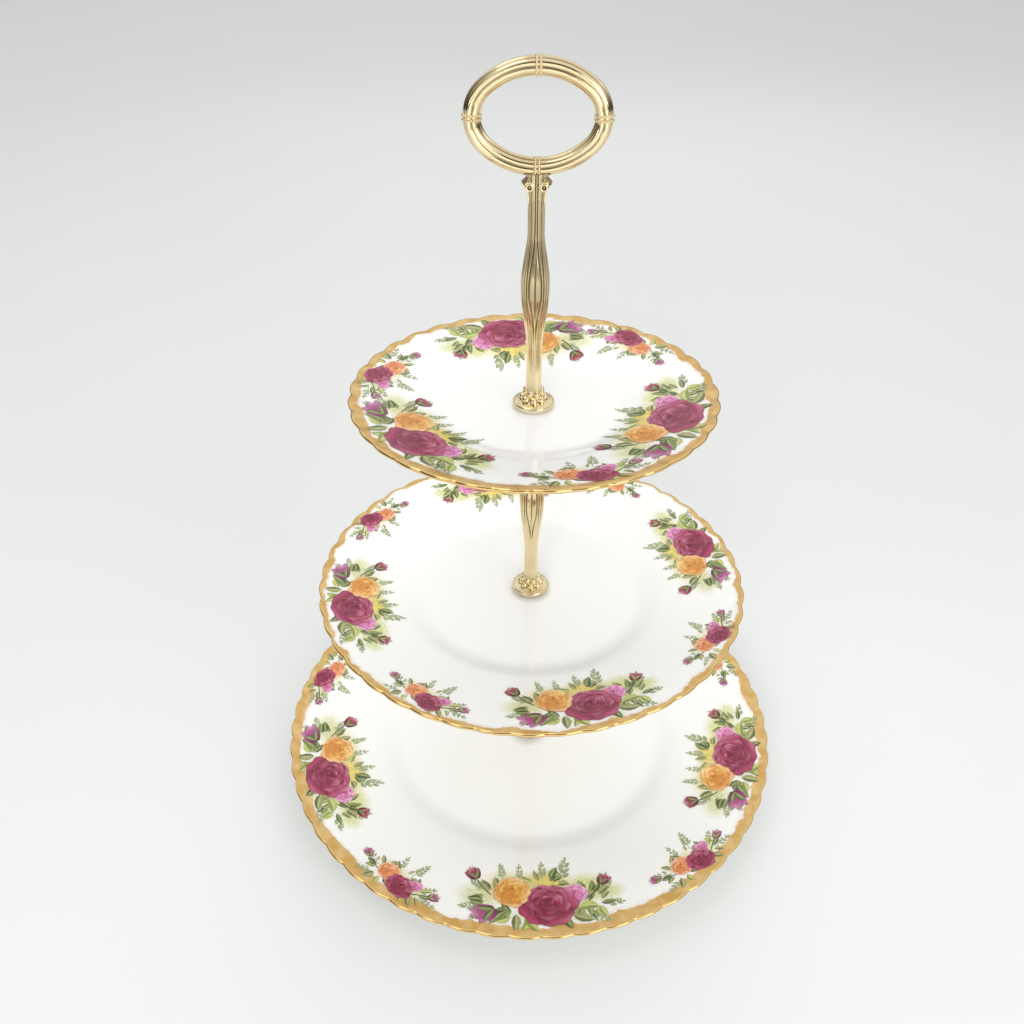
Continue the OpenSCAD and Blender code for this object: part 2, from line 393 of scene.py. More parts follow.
class GeometryTrees:
    """Geometry node groups for what follows a rule on this stand."""

    def __init__(self) -> None:
        """Builds each group once."""
        self.scallops = self._scallops()
        self.ring_of_sprays = self._ring_of_sprays()
        self.bead_ring = self._bead_ring()
        self.thread = self._thread()
        self.reeded_bar = self._reeded_bar()

    @staticmethod
    def _start(name: str, inputs: dict[str, float]) -> tuple:
        """Begins a tree that takes a mesh, some numbers and a material, and gives a mesh."""
        return new_group(name, "GeometryNodeTree", {"Geometry": "Geometry", **inputs, "Material": "Material"},
                         {"Geometry": "Geometry"})

    @staticmethod
    def _finish(tree: Tree, last: bpy.types.Node, given: Sequence, group_out: bpy.types.Node,
                smooth: bool = True) -> bpy.types.NodeTree:
        """Ends a tree in Realize Instances, smooth shading and Set Material."""
        real = tree.add("GeometryNodeRealizeInstances", {"Geometry": last})
        shade = tree.add("GeometryNodeSetShadeSmooth", {"Geometry": real, "Shade Smooth": smooth})
        dress = tree.add("GeometryNodeSetMaterial", {"Geometry": shade, "Material": given["Material"]})
        tree.feed(group_out, {"Geometry": dress})
        return tree.tree

    def _scallops(self) -> bpy.types.NodeTree:
        """Presses scallops and flutes into whatever lies near a round rim."""
        tree, given, out = self._start("scalloped_rim", {
            "Scallops": 48, "Rim Radius": 0.1, "Cusp Depth": 0.001, "Flute Depth": 0.0004,
            "Fade Width": 0.012})
        x, y, z = tree.parts(tree.add("GeometryNodeInputPosition").outputs[0])
        radius = tree.math("SQRT", tree.plus(tree.times(x, x), tree.times(y, y)))
        half = tree.times(tree.math("ARCTAN2", y, x), tree.times(given["Scallops"], 0.5))
        dip = tree.minus(1.0, tree.math("ABSOLUTE", tree.math("COSINE", half)))
        near = tree.ramp(radius, tree.minus(given["Rim Radius"], given["Fade Width"]), given["Rim Radius"])
        pressed = tree.times(dip, near)
        drawn_in = tree.minus(radius, tree.times(pressed, given["Cusp Depth"]))
        scale = tree.math("DIVIDE", drawn_in, tree.math("MAXIMUM", radius, 1e-6))
        moved = tree.vector(tree.times(x, scale), tree.times(y, scale),
                            tree.minus(z, tree.times(pressed, given["Flute Depth"])))
        shaped = tree.add("GeometryNodeSetPosition", {"Geometry": given["Geometry"], "Position": moved})
        return self._finish(tree, shaped, given, out)

    def _ring_of_sprays(self) -> bpy.types.NodeTree:
        """Repeats a piece at equal turns about Z."""
        tree, given, out = self._start("ring_of_sprays", {"Count": 4, "First Angle": 0.0})
        one = tree.add("GeometryNodeGeometryToInstance", {"Geometry": given["Geometry"]})
        copies = tree.add("GeometryNodeDuplicateElements", {"Geometry": one, "Amount": given["Count"]},
                          domain="INSTANCE")
        step = tree.math("DIVIDE", 2 * math.pi, given["Count"])
        turn = tree.plus(tree.times(copies.outputs["Duplicate Index"], step), given["First Angle"])
        turned = tree.add("GeometryNodeRotateInstances", {
            "Instances": copies, "Rotation": tree.vector(z=turn), "Local Space": False})
        return self._finish(tree, turned, given, out)

    def _bead_ring(self) -> bpy.types.NodeTree:
        """A ring of round beads about Z."""
        tree, given, out = self._start("bead_ring", {
            "Beads": 12, "Ring Radius": 0.005, "Bead Radius": 0.001, "Height": 0.0, "Bead Length": 1.0,
            "Turn": 0.0})
        ring = tree.add("GeometryNodeMeshCircle", {
            "Vertices": given["Beads"], "Radius": given["Ring Radius"]})
        bead = tree.add("GeometryNodeMeshUVSphere", {
            "Segments": 12, "Rings": 8, "Radius": given["Bead Radius"]})
        beads = tree.add("GeometryNodeInstanceOnPoints", {
            "Points": ring, "Instance": bead, "Scale": tree.vector(1.0, 1.0, given["Bead Length"])})
        raised = tree.add("GeometryNodeTransform", {
            "Geometry": beads, "Translation": tree.vector(z=given["Height"]),
            "Rotation": tree.vector(z=given["Turn"])})
        return self._finish(tree, raised, given, out)

    def _thread(self) -> bpy.types.NodeTree:
        """A screw thread: a ridge that climbs a shaft along Z."""
        tree, given, out = self._start("screw_thread", {
            "Turns": 10.0, "Root Radius": 0.002, "Ridge": 0.0004, "Length": 0.01, "Start Height": 0.0})
        path = tree.add("GeometryNodeCurveSpiral", {
            "Resolution": 28, "Rotations": given["Turns"], "Start Radius": given["Root Radius"],
            "End Radius": given["Root Radius"], "Height": given["Length"]})
        section = tree.add("GeometryNodeCurvePrimitiveCircle", {"Resolution": 4, "Radius": given["Ridge"]},
                           mode="RADIUS")
        ridge = tree.add("GeometryNodeCurveToMesh", {
            "Curve": path, "Profile Curve": section, "Fill Caps": True})
        raised = tree.add("GeometryNodeTransform", {
            "Geometry": ridge, "Translation": tree.vector(z=given["Start Height"])})
        return self._finish(tree, raised, given, out, smooth=False)

    def _reeded_bar(self) -> bpy.types.NodeTree:
        """A bar of parallel reeds swept along a closed loop of edges."""
        tree, given, out = self._start("reeded_bar", {
            "Reeds": 6, "Bar Radius": 0.003, "Groove": 0.15, "Twist": 0.0})
        path = tree.add("GeometryNodeMeshToCurve", {"Mesh": given["Geometry"]})
        circle = tree.add("GeometryNodeCurvePrimitiveCircle", {
            "Resolution": 60, "Radius": given["Bar Radius"]}, mode="RADIUS")
        spot = tree.add("GeometryNodeInputPosition").outputs[0]
        x, y, _ = tree.parts(spot)
        angle = tree.plus(tree.math("ARCTAN2", y, x), given["Twist"])
        wave = tree.math("ABSOLUTE", tree.math("COSINE", tree.times(angle, tree.times(given["Reeds"], 0.5))))
        dent = tree.minus(1.0, tree.math("POWER", wave, 0.6))
        size = tree.minus(1.0, tree.times(dent, given["Groove"]))
        grown = tree.add("ShaderNodeVectorMath", {0: spot, "Scale": size}, operation="SCALE")
        # Painted shade share in the grooves between the reeds, stored as the recess attribute.
        marked = tree.add("GeometryNodeStoreNamedAttribute", {
            "Geometry": circle, "Name": "recess", "Value": tree.ramp(wave, 0.0, 0.42, 1.0, 0.0)},
            data_type="FLOAT")
        section = tree.add("GeometryNodeSetPosition", {"Geometry": marked, "Position": grown})
        bar = tree.add("GeometryNodeCurveToMesh", {"Curve": path, "Profile Curve": section})
        return self._finish(tree, bar, given, out)


# ---- Finishes ----

class SurfaceEffects:
    """Shader groups that several finishes share."""

    def __init__(self) -> None:
        """Builds each group once."""
        self._uneven = self._make_uneven()
        self._handled = self._make_handled()

    @staticmethod
    def _make_uneven() -> bpy.types.NodeTree:
        """Slow unevenness of a hand-dipped or polished surface, as a normal."""
        tree, given, out = new_group("slow_ripple", "ShaderNodeTree", {
            "Size": 60.0, "Strength": 0.1, "Lift": 0.0002}, {"Normal": "Vector"})
        bump = tree.add("ShaderNodeBump", {"Strength": given["Strength"], "Distance": given["Lift"],
                                           "Height": tree.noise(tree.here(), given["Size"], 2.0)})
        tree.feed(out, {"Normal": bump})
        return tree.tree

    @staticmethod
    def _make_handled() -> bpy.types.NodeTree:
        """Faint smears and hairlines from use, as a roughness between two values."""
        tree, given, out = new_group("handling_marks", "ShaderNodeTree", {
            "Clean": 0.1, "Smeared": 0.2, "Size": 120.0}, {"Roughness": "Float", "Mask": "Float"})
        where = tree.here()
        stretched = tree.add("ShaderNodeMapping", {"Vector": where, "Scale": (1.0, 1.0, 6.0)})
        broad = tree.ramp(tree.noise(where, given["Size"], 5.0), 0.4, 0.7)
        fine = tree.ramp(tree.noise(stretched, 900.0, 3.0), 0.35, 0.7)
        marks = tree.times(broad, fine)
        span = tree.minus(given["Smeared"], given["Clean"])
        tree.feed(out, {"Roughness": tree.plus(given["Clean"], tree.times(span, marks)), "Mask": marks})
        return tree.tree

    def ripple(self, tree: Tree, size: float, strength: float = 0.1) -> bpy.types.NodeSocket:
        """Normal of a slowly uneven surface, inside a finish's tree."""
        return tree.add("ShaderNodeGroup", {"Size": size, "Strength": strength},
                        node_tree=self._uneven).outputs["Normal"]

    def marks(self, tree: Tree, clean: float, smeared: float) -> Sequence[bpy.types.NodeSocket]:
        """Roughness and Mask of handling marks, inside a finish's tree."""
        return tree.add("ShaderNodeGroup", {"Clean": clean, "Smeared": smeared},
                        node_tree=self._handled).outputs


def start_material(name: str) -> tuple[Tree, bpy.types.Node]:
    """A new material's tree and its Principled shader."""
    material = bpy.data.materials.new(name)
    material.use_nodes = True
    return Tree(material.node_tree), material.node_tree.nodes["Principled BSDF"]


@dataclass(frozen=True)
class PolishedMetal:
    """Cast or turned metal with a polish, faint handling marks and painted shade in its recesses."""

    name: str
    face: Colour
    shade: Colour
    clean: float
    smeared: float
    ripple_size: float
    ripple: float
    # Painted shade: a dark brown mixed in by the recess share, and the extra roughness that goes with it.
    patina: Colour = srgb("#5a4325")
    patina_cover: float = 0.85
    patina_rough: float = 0.15

    def build(self, effects: SurfaceEffects) -> bpy.types.Material:
        """Makes the material, with painted shade: a dark brown mixed in as far as the recess attribute goes,
        with more roughness there.
        """
        tree, shader = start_material(self.name)
        sunk = tree.stored("recess")
        marks = effects.marks(tree, self.clean, self.smeared)
        polished = tree.blend(marks["Mask"], self.face, self.shade)
        tree.feed(shader, {
            "Metallic": 1.0,
            # Painted shade: the dark brown mixed in by the recess share.
            "Base Color": tree.blend(tree.times(sunk, self.patina_cover), polished, self.patina),
            "Roughness": tree.plus(marks["Roughness"], tree.times(sunk, self.patina_rough)),
            "Normal": effects.ripple(tree, self.ripple_size, self.ripple)})
        return bpy.data.materials[self.name]


@dataclass(frozen=True)
class SoftMoulding:
    """Moulded nylon or a soft translucent pad."""

    name: str
    face: Colour
    shade: Colour
    roughness: float
    subsurface: float
    grain: float

    def build(self, effects: SurfaceEffects) -> bpy.types.Material:
        """Makes the material."""
        tree, shader = start_material(self.name)
        cloud = tree.noise(tree.here(), self.grain, 4.0)
        tree.feed(shader, {
            "Subsurface Weight": self.subsurface, "Subsurface Scale": MM,
            "Base Color": tree.blend(cloud, self.face, self.shade),
            "Roughness": effects.marks(tree, self.roughness, self.roughness + 0.15)["Roughness"],
            "Normal": effects.ripple(tree, self.grain * 4)})
        return bpy.data.materials[self.name]


GLAZE_IOR = 1.52
GLAZE_RIPPLE = (45.0, 0.12)


@dataclass(frozen=True)
class GiltChina:
    """Glazed bone china with a gilt rim whose inner edge is sponged and uneven."""

    name: str
    band: float
    wander: float = 9.0 * MM
    speckle: float = 2.6 * MM
    halo_w: float = 2.4 * MM
    bright_edge: float = 0.5 * MM
    glaze: Colour = srgb("#f9f9f6")
    bare: Colour = srgb("#e4ddcf")
    gilt: Colour = srgb("#d6aa60")
    gilt_light: Colour = srgb("#e8c78b")
    edge_gilt: Colour = srgb("#edc988")
    halo: Colour = srgb("#e4d6cd")

    def build(self, effects: SurfaceEffects) -> bpy.types.Material:
        """Makes the material from the plate's rim_gap and bare attributes."""
        tree, shader = start_material(self.name)
        gap, bare = tree.stored("rim_gap"), tree.stored("bare")
        where = tree.here()
        broad = tree.times(tree.minus(tree.noise(where, 62.0, 2.0), 0.5), self.wander)
        fine = tree.times(tree.minus(tree.noise(where, 330.0, 5.0), 0.5), self.speckle)
        depth = tree.minus(tree.plus(self.band, tree.plus(broad, fine)), gap)
        gold = tree.ramp(depth, -0.35 * MM, 0.45 * MM)
        halo = tree.ramp(depth, -self.halo_w, 0.2 * MM, 0.0, 0.55)
        edge = tree.ramp(gap, self.bright_edge, 0.95 * MM, 1.0, 0.0)
        mottle = tree.ramp(tree.noise(where, 140.0, 6.0), 0.35, 0.68)
        china = tree.blend(halo, tree.blend(bare, self.glaze, self.bare), self.halo)
        gilding = tree.blend(edge, tree.blend(mottle, self.gilt, self.gilt_light), self.edge_gilt)
        china_rough = tree.plus(0.07, tree.times(bare, 0.6))
        satin_rough = tree.plus(0.30, tree.times(mottle, 0.12))
        gold_rough = tree.plus(tree.times(edge, 0.09), tree.times(tree.minus(1.0, edge), satin_rough))
        tree.feed(shader, {
            "IOR": GLAZE_IOR,
            "Base Color": tree.blend(gold, china, gilding),
            "Metallic": tree.times(gold, tree.ramp(gap, self.bright_edge, 1.6 * MM, 1.0, 0.55)),
            "Roughness": tree.plus(tree.times(gold, gold_rough),
                                   tree.times(tree.minus(1.0, gold), china_rough)),
            "Normal": effects.ripple(tree, *GLAZE_RIPPLE)})
        return bpy.data.materials[self.name]


@dataclass(frozen=True)
class Enamel:
    """On-glaze painting whose colour and cover come from the piece's own attribute."""

    name: str = "rose_enamel"

    def build(self, effects: SurfaceEffects) -> bpy.types.Material:
        """Makes the material from the enamel attribute."""
        tree, shader = start_material(self.name)
        paint = tree.add("ShaderNodeAttribute", attribute_name="enamel").outputs
        stroke = tree.noise(tree.here(), 700.0, 3.0, 1.2)
        tone = tree.ramp(stroke, 0.25, 0.75, 0.82, 1.14)
        shaded = tree.add("ShaderNodeVectorMath", {0: paint["Color"], "Scale": tone}, operation="SCALE")
        streaks = tree.ramp(stroke, 0.2, 0.45, 0.8, 1.0)
        tree.feed(shader, {
            "IOR": GLAZE_IOR,
            "Base Color": shaded,
            "Alpha": tree.math("MULTIPLY", paint["Alpha"], streaks, clamp=True),
            "Roughness": tree.ramp(stroke, 0.3, 0.7, 0.1, 0.2),
            "Normal": effects.ripple(tree, *GLAZE_RIPPLE)})
        return bpy.data.materials[self.name]


class Finishes:
    """All the stand's materials, built once."""

    def __init__(self) -> None:
        """Builds the shared effects and each finish."""
        self.effects = SurfaceEffects()
        made = [finish.build(self.effects) for finish in (
            PolishedMetal("gilt_casting", srgb("#f2e0b5"), srgb("#e0c898"), 0.06, 0.18, 260.0, 0.12),
            PolishedMetal("gilt_sheet", srgb("#e6c079"), srgb("#c99c52"), 0.16, 0.32, 400.0, 0.1),
            PolishedMetal("zinc_steel", srgb("#c3c6ca"), srgb("#9fa4a8"), 0.22, 0.42, 700.0, 0.15),
            SoftMoulding("soft_pad", srgb("#ddd8cc"), srgb("#c9c2b3"), 0.45, 0.15, 300.0),
            SoftMoulding("nylon_bush", srgb("#ece6d6"), srgb("#dcd3bf"), 0.4, 0.1, 500.0),
            Enamel())]
        self.gilt, self.gilt_sheet, self.steel, self.pad, self.nylon, self.enamel = made


# ---- Painted sprays ----

class Bloom(Enum):
    """Colours of a rose or bud: dark folds, body, rolled petal edges, outermost petals."""

    CRIMSON = ("#671a30", "#a52c50", "#dc93b0", "#b03c66")
    AMBER = ("#c4752c", "#eca844", "#fbdd97", "#f3c193")
    PINK = ("#bd3f86", "#dd86b8", "#f8d3e6", "#e8a8cd")
    ORANGE = ("#cc6d38", "#ee9f63", "#fad6a8", "#f4bfae")
    MAUVE = ("#7f2a5c", "#ab4f85", "#dca6c6", "#b06392")


class Foliage(Enum):
    """Colours of a leaf: shaded half, lit half, vein."""

    DEEP = ("#4b5c2f", "#7f8f4f", "#bfc489")
    OLIVE = ("#6b7344", "#a3a568", "#d3d09b")
    FRESH = ("#8a9a4c", "#c2c56f", "#e5e3a8")
    GREY = ("#77865a", "#9cab77", "#c6cda2")


class Painter:
    """Lays painted patches on the flat of a spray: s runs along the rim and h inwards, both in mm."""

    FIRST_LAYER = 0.035
    LAYER_STEP = 0.0012

    def __init__(self, seed: int) -> None:
        """Starts with no paint."""
        self.points: list[tuple[float, float, float]] = []
        self.colours: list[tuple[float, float, float, float]] = []
        self.faces: list[tuple[int, ...]] = []
        self.level = self.FIRST_LAYER
        self.rng = random.Random(seed)

    def patch(self, rows: int, cols: int, where: Callable[[float, float], tuple[float, float]],
              paint: Callable[[float, float], tuple[float, ...]]) -> None:
        """Adds one grid patch above what is already painted.

        Args:
            rows: Steps along the patch.
            cols: Steps across it.
            where: (s, h) from (p, q), with p from 0 to 1 along and q from -1 to 1 across.
            paint: Colour and cover from (p, q).
        """
        base = len(self.points)
        for i in range(rows + 1):
            for j in range(cols + 1):
                p, q = i / rows, 2 * j / cols - 1
                s, h = where(p, q)
                self.points.append((s, h, self.level))
                self.colours.append(tuple(paint(p, q)))
        width = cols + 1
        for i in range(rows):
            for j in range(cols):
                a = base + i * width + j
                self.faces.append((a, a + 1, a + width + 1, a + width))
        self.level += self.LAYER_STEP

    def petal(self, centre: tuple[float, float], angle: float, inner: float, outer: float, half: float,
              bloom: tuple[Colour, ...], light: float, outermost: bool) -> None:
        """Paints one petal that reaches from inner to outer about a centre."""
        wave, phase = self.rng.uniform(0.04, 0.10), self.rng.uniform(0, 6)
        ca, sa = math.cos(angle), math.sin(angle)
        dark, body, rolled, outside = bloom
        warm = self.rng.uniform(0.0, 0.5)

        def where(p: float, q: float) -> tuple[float, float]:
            """Place on a broad petal with a wavy tip."""
            along = inner + (outer - inner) * p * (1 - 0.15 * q * q + wave * math.sin(4 * q + phase) * p)
            across = q * half * math.sin(math.pi * (0.16 + 0.70 * p)) ** 0.55
            return centre[0] + 1.1 * (ca * along - sa * across), centre[1] + 0.93 * (sa * along + ca * across)

        def paint(p: float, q: float) -> tuple[float, ...]:
            """Dark at the fold, lit towards the rolled edge, with a thin dark outline."""
            tone = mix(dark, body, ease((p - 0.08) / 0.5) * (0.35 + 0.65 * light))
            if outermost:
                tone = mix(tone, outside, ease((p - 0.35) / 0.5) * (0.5 + warm))
            streak = 0.5 + 0.5 * math.sin(q * 2.6 + phase)
            tone = mix(tone, rolled, ease((p - 0.62) / 0.24) * (0.2 + 0.8 * streak) * light)
            tone = mix(tone, dark, 0.5 * abs(q) ** 6 + 0.45 * ease((p - 0.95) / 0.05))
            return (*tone, 1.0)

        self.patch(9, 8, where, paint)

    def rose(self, s: float, h: float, size: float, bloom: Bloom, turn: float = 0.0) -> None:
        """Paints an open rose: whorls of broad petals round a tight heart."""
        colours = tuple(srgb(code) for code in bloom.value)
        r = size / 2
        # Petals, inner and outer reach, half width and rise of each whorl, in shares of the radius.
        whorls = ((5, 0.30, 1.03, 0.66, 0.0), (5, 0.16, 0.82, 0.52, 0.05), (4, 0.06, 0.61, 0.44, 0.10),
                  (3, 0.0, 0.42, 0.33, 0.14), (3, 0.0, 0.26, 0.19, 0.17))
        for number, (count, inner, outer, half, rise) in enumerate(whorls):
            first = turn + number * 0.9
            for k in range(count):
                angle = first + 2 * math.pi * k / count + self.rng.uniform(-0.2, 0.2)
                light = min(1.0, max(0.12, 0.5 + 0.4 * math.sin(angle + 0.5) + self.rng.uniform(-0.25, 0.25)))
                reach = self.rng.uniform(0.88, 1.06)
                self.petal((s, h + rise * r), angle, inner * r, outer * r * reach, half * r, colours,
                           light, number == 0)
        self.disc(s, h + 0.17 * r, 0.10 * r, 0.07 * r, colours[0], 1.0, 0.6)

    def disc(self, s: float, h: float, a: float, b: float, colour: Colour, cover: float, hard: float,
             turn: float = 0.0) -> None:
        """Paints a soft oval whose cover falls to nothing at its edge."""
        ca, sa = math.cos(turn), math.sin(turn)

        def where(p: float, q: float) -> tuple[float, float]:
            """Place on rings about the centre."""
            x, y = a * p * math.cos(math.pi * q), b * p * math.sin(math.pi * q)
            return s + ca * x - sa * y, h + sa * x + ca * y

        def paint(p: float, q: float) -> tuple[float, ...]:
            """Even colour with a fading edge."""
            return (*colour, cover * (1 - ease((p - hard) / (1.0001 - hard))))

        self.patch(4, 16, where, paint)

    def leaf(self, s: float, h: float, angle: float, length: float, kind: Foliage, width: float) -> None:
        """Paints a toothed leaf that grows from (s, h)."""
        dark, lit, vein = (srgb(code) for code in kind.value)
        ca, sa = math.cos(math.radians(angle)), math.sin(math.radians(angle))
        bend = self.rng.uniform(-0.16, 0.16)

        def where(p: float, q: float) -> tuple[float, float]:
            """Place on a pointed oval with a slight curve."""
            tooth = 1 + 0.07 * math.sin(p * 34) * abs(q)
            across = q * width * 0.5 * length * math.sin(math.pi * p ** 0.85) ** 0.9 * tooth
            across += bend * length * math.sin(math.pi * p)
            along = p * length
            return s + ca * along - sa * across, h + sa * along + ca * across

        def paint(p: float, q: float) -> tuple[float, ...]:
            """One half shaded, one lit, with a pale midrib and side veins."""
            tone = mix(dark, lit, ease(0.5 + 0.9 * q))
            tone = mix(tone, vein, max(0.0, 0.75 - 4.5 * abs(q)))
            tone = mix(tone, dark, 0.4 * max(0.0, math.sin(p * 26 - abs(q) * 5)) * abs(q))
            return (*tone, 1.0)

        self.patch(*((9, 6) if length > 4.5 else (5, 2)), where, paint)

    def foliage(self, s: float, h: float, a: float, b: float, count: int, length: float) -> None:
        """Paints leaves that point outwards all round an oval."""
        for k in range(count):
            turn = 2 * math.pi * (k + self.rng.uniform(-0.3, 0.3)) / count
            x, y = s + a * math.cos(turn), h + b * math.sin(turn)
            lean = math.degrees(math.atan2(math.sin(turn) * b, math.cos(turn) * a))
            lean += self.rng.uniform(-34, 34)
            kind = self.rng.choice((Foliage.DEEP, Foliage.OLIVE, Foliage.FRESH, Foliage.OLIVE))
            self.leaf(x, y, lean, length * self.rng.uniform(0.75, 1.15), kind, self.rng.uniform(0.36, 0.5))

    def stalk(self, start: tuple[float, float], end: tuple[float, float], sag: float, width: float,
              kind: Foliage) -> None:
        """Paints a thin curved stalk."""
        tone = srgb(kind.value[0])
        dx, dy = end[0] - start[0], end[1] - start[1]
        span = math.hypot(dx, dy)

        def where(p: float, q: float) -> tuple[float, float]:
            """Place along the bowed line."""
            bow = sag * math.sin(math.pi * p)
            side = bow + q * width / 2
            return start[0] + dx * p - dy / span * side, start[1] + dy * p + dx / span * side

        self.patch(6, 1, where, lambda p, q: (*tone, 1.0))

    def bud(self, s: float, h: float, angle: float, size: float, bloom: Bloom,
            foot: tuple[float, float]) -> None:
        """Paints a bud on its stalk: closed petals held by a calyx."""
        self.stalk(foot, (s, h), 0.6, 0.45, Foliage.DEEP)
        colours = tuple(srgb(code) for code in bloom.value)
        a = math.radians(angle)
        for side in (-0.45, 0.45, 0.0):
            self.petal((s, h), a + side, -0.1 * size, size * (1.0 - 0.12 * abs(side)), 0.36 * size, colours,
                       0.9 if side == 0 else 0.55, False)
        for side in (-32, 30):
            self.leaf(s - 0.1 * size * math.cos(a), h - 0.1 * size * math.sin(a), angle + side, 0.85 * size,
                      Foliage.DEEP, 0.34)
        for side in (-14, 8):
            self.leaf(s + 0.75 * size * math.cos(a), h + 0.75 * size * math.sin(a), angle + side, 0.5 * size,
                      Foliage.OLIVE, 0.12)

    def sprig(self, s: float, h: float, angle: float, length: float, pairs: int, kind: Foliage) -> None:
        """Paints a stalk with pairs of small leaflets and one at its tip."""
        a = math.radians(angle)
        tip = (s + length * math.cos(a), h + length * math.sin(a))
        self.stalk((s, h), tip, 0.05 * length, 0.3, kind)
        for k in range(pairs):
            share = 0.3 + 0.6 * k / max(pairs - 1, 1)
            x, y = s + (tip[0] - s) * share, h + (tip[1] - h) * share
            size = length * 0.40 * (1.1 - 0.5 * share)
            for side in (-48, 48):
                self.leaf(x, y, angle + side + self.rng.uniform(-9, 9), size, kind, 0.46)
        self.leaf(*tip, angle, length * 0.28, kind, 0.42)


class Spray(Enum):
    """The two posies that take turns round a plate."""

    LARGE = "large"
    SMALL = "small"


@dataclass(frozen=True)
class Posy:
    """What a posy is made of, from the bottom layer up. Places and sizes are in mm at full scale.

    Attributes:
        seed: Start of its random draws.
        washes: (s, h, half length, half height, colour, cover) of each pale wash.
        sprigs: (s, h, angle, length, pairs of leaflets).
        tufts: (s, h, half length, half height, leaves, leaf length) of each oval of leaves.
        leaves: (s, h, angle, length, kind).
        buds: (s, h, angle, size, bloom, foot).
        roses: (s, h, size, bloom, turn).
    """

    seed: int
    washes: tuple
    sprigs: tuple
    tufts: tuple
    leaves: tuple
    buds: tuple
    roses: tuple

    def paint(self, k: float) -> Painter:
        """Paints the posy at scale k."""
        art = Painter(self.seed)
        for s, h, a, b, tone, cover in self.washes:
            art.disc(s * k, h * k, a * k, b * k, srgb(tone), cover, 0.2)
        for s, h, angle, length, pairs in self.sprigs:
            art.sprig(s * k, h * k, angle, length * k, pairs, Foliage.GREY)
        for s, h, a, b, count, length in self.tufts:
            art.foliage(s * k, h * k, a * k, b * k, count, length * k)
        for s, h, angle, length, kind in self.leaves:
            art.leaf(s * k, h * k, angle, length * k, kind, 0.46)
        for s, h, angle, size, bloom, foot in self.buds:
            art.bud(s * k, h * k, angle, size * k, bloom, (foot[0] * k, foot[1] * k))
        for s, h, size, bloom, turn in self.roses:
            art.rose(s * k, h * k, size * k, bloom, turn)
        return art


POSIES = {
    Spray.LARGE: Posy(
        seed=11,
        washes=((-14, 27, 18, 12, "#f6e48c", 0.75), (5, 31, 16, 9, "#f5df72", 0.8),
                (24, 24, 15, 11, "#ebeda0", 0.85), (-29, 20, 13, 9, "#e6e8a8", 0.6),
                (8, 12, 26, 7, "#dfe2a8", 0.5), (35, 19, 9, 6, "#e8eea4", 0.6)),
        sprigs=((-18, 31, 112, 9, 4), (3, 31, 88, 10, 4), (12, 30, 62, 13, 5), (-27, 15, 196, 8, 4),
                (30, 14, -14, 8, 4), (22, 9, -30, 8, 3), (-9, 32, 100, 8, 3), (30, 20, 34, 9, 4),
                (-25, 24, 158, 9, 4)),
        tufts=((-21, 20, 5.5, 5, 13, 7.5), (24, 17, 6, 5, 14, 7.2), (21, 17, 3, 3, 7, 6),
               (2, 29, 9, 3, 11, 7), (-4, 12, 12, 1.5, 11, 6.5)),
        leaves=((-15, 14, -128, 10, Foliage.DEEP), (-10, 12.5, -92, 9, Foliage.OLIVE),
                (-6, 12, -58, 10, Foliage.FRESH), (11, 10.5, -70, 7.5, Foliage.DEEP),
                (15, 11.5, -30, 10, Foliage.OLIVE), (18, 14, -8, 10, Foliage.FRESH),
                (20, 19, 14, 9, Foliage.OLIVE), (7, 32, 52, 9, Foliage.DEEP)),
        buds=((-33, 30, 134, 6.8, Bloom.CRIMSON, (-23, 22)), (33, 25, 42, 6.0, Bloom.CRIMSON, (24, 17)),
              (-21, 13.5, -142, 9.4, Bloom.MAUVE, (-15, 18))),
        roses=((18.5, 22.5, 11.4, Bloom.PINK, 0.4), (4.5, 18, 24.5, Bloom.CRIMSON, 0.2),
               (-13, 25, 18.5, Bloom.AMBER, 1.1))),
    Spray.SMALL: Posy(
        seed=23,
        washes=((-4, 14, 13, 7, "#f4e69a", 0.5), (9, 11, 10, 6, "#e9ecaa", 0.65)),
        sprigs=((-2, 16, 98, 8, 3), (5, 17, 66, 9, 4), (-12, 13, 160, 8, 3), (12, 12, 30, 7, 3),
                (14, 8, -8, 7, 3), (-11, 8, 198, 7, 3)),
        tufts=((-8.5, 11.5, 4, 3.6, 9, 5.6), (9, 10, 4.4, 3, 9, 5.4), (1, 15.5, 4, 2, 6, 5.2)),
        leaves=(),
        buds=((-18.5, 14, 160, 4.4, Bloom.MAUVE, (-9, 11)), (18, 11, 28, 4.4, Bloom.MAUVE, (9, 8))),
        roses=((9.6, 13.6, 6.2, Bloom.PINK, 0.9), (-5.4, 13, 10.6, Bloom.ORANGE, 0.7),
               (3.6, 9.6, 13, Bloom.CRIMSON, 0.1)))}


# ---- Plates ----

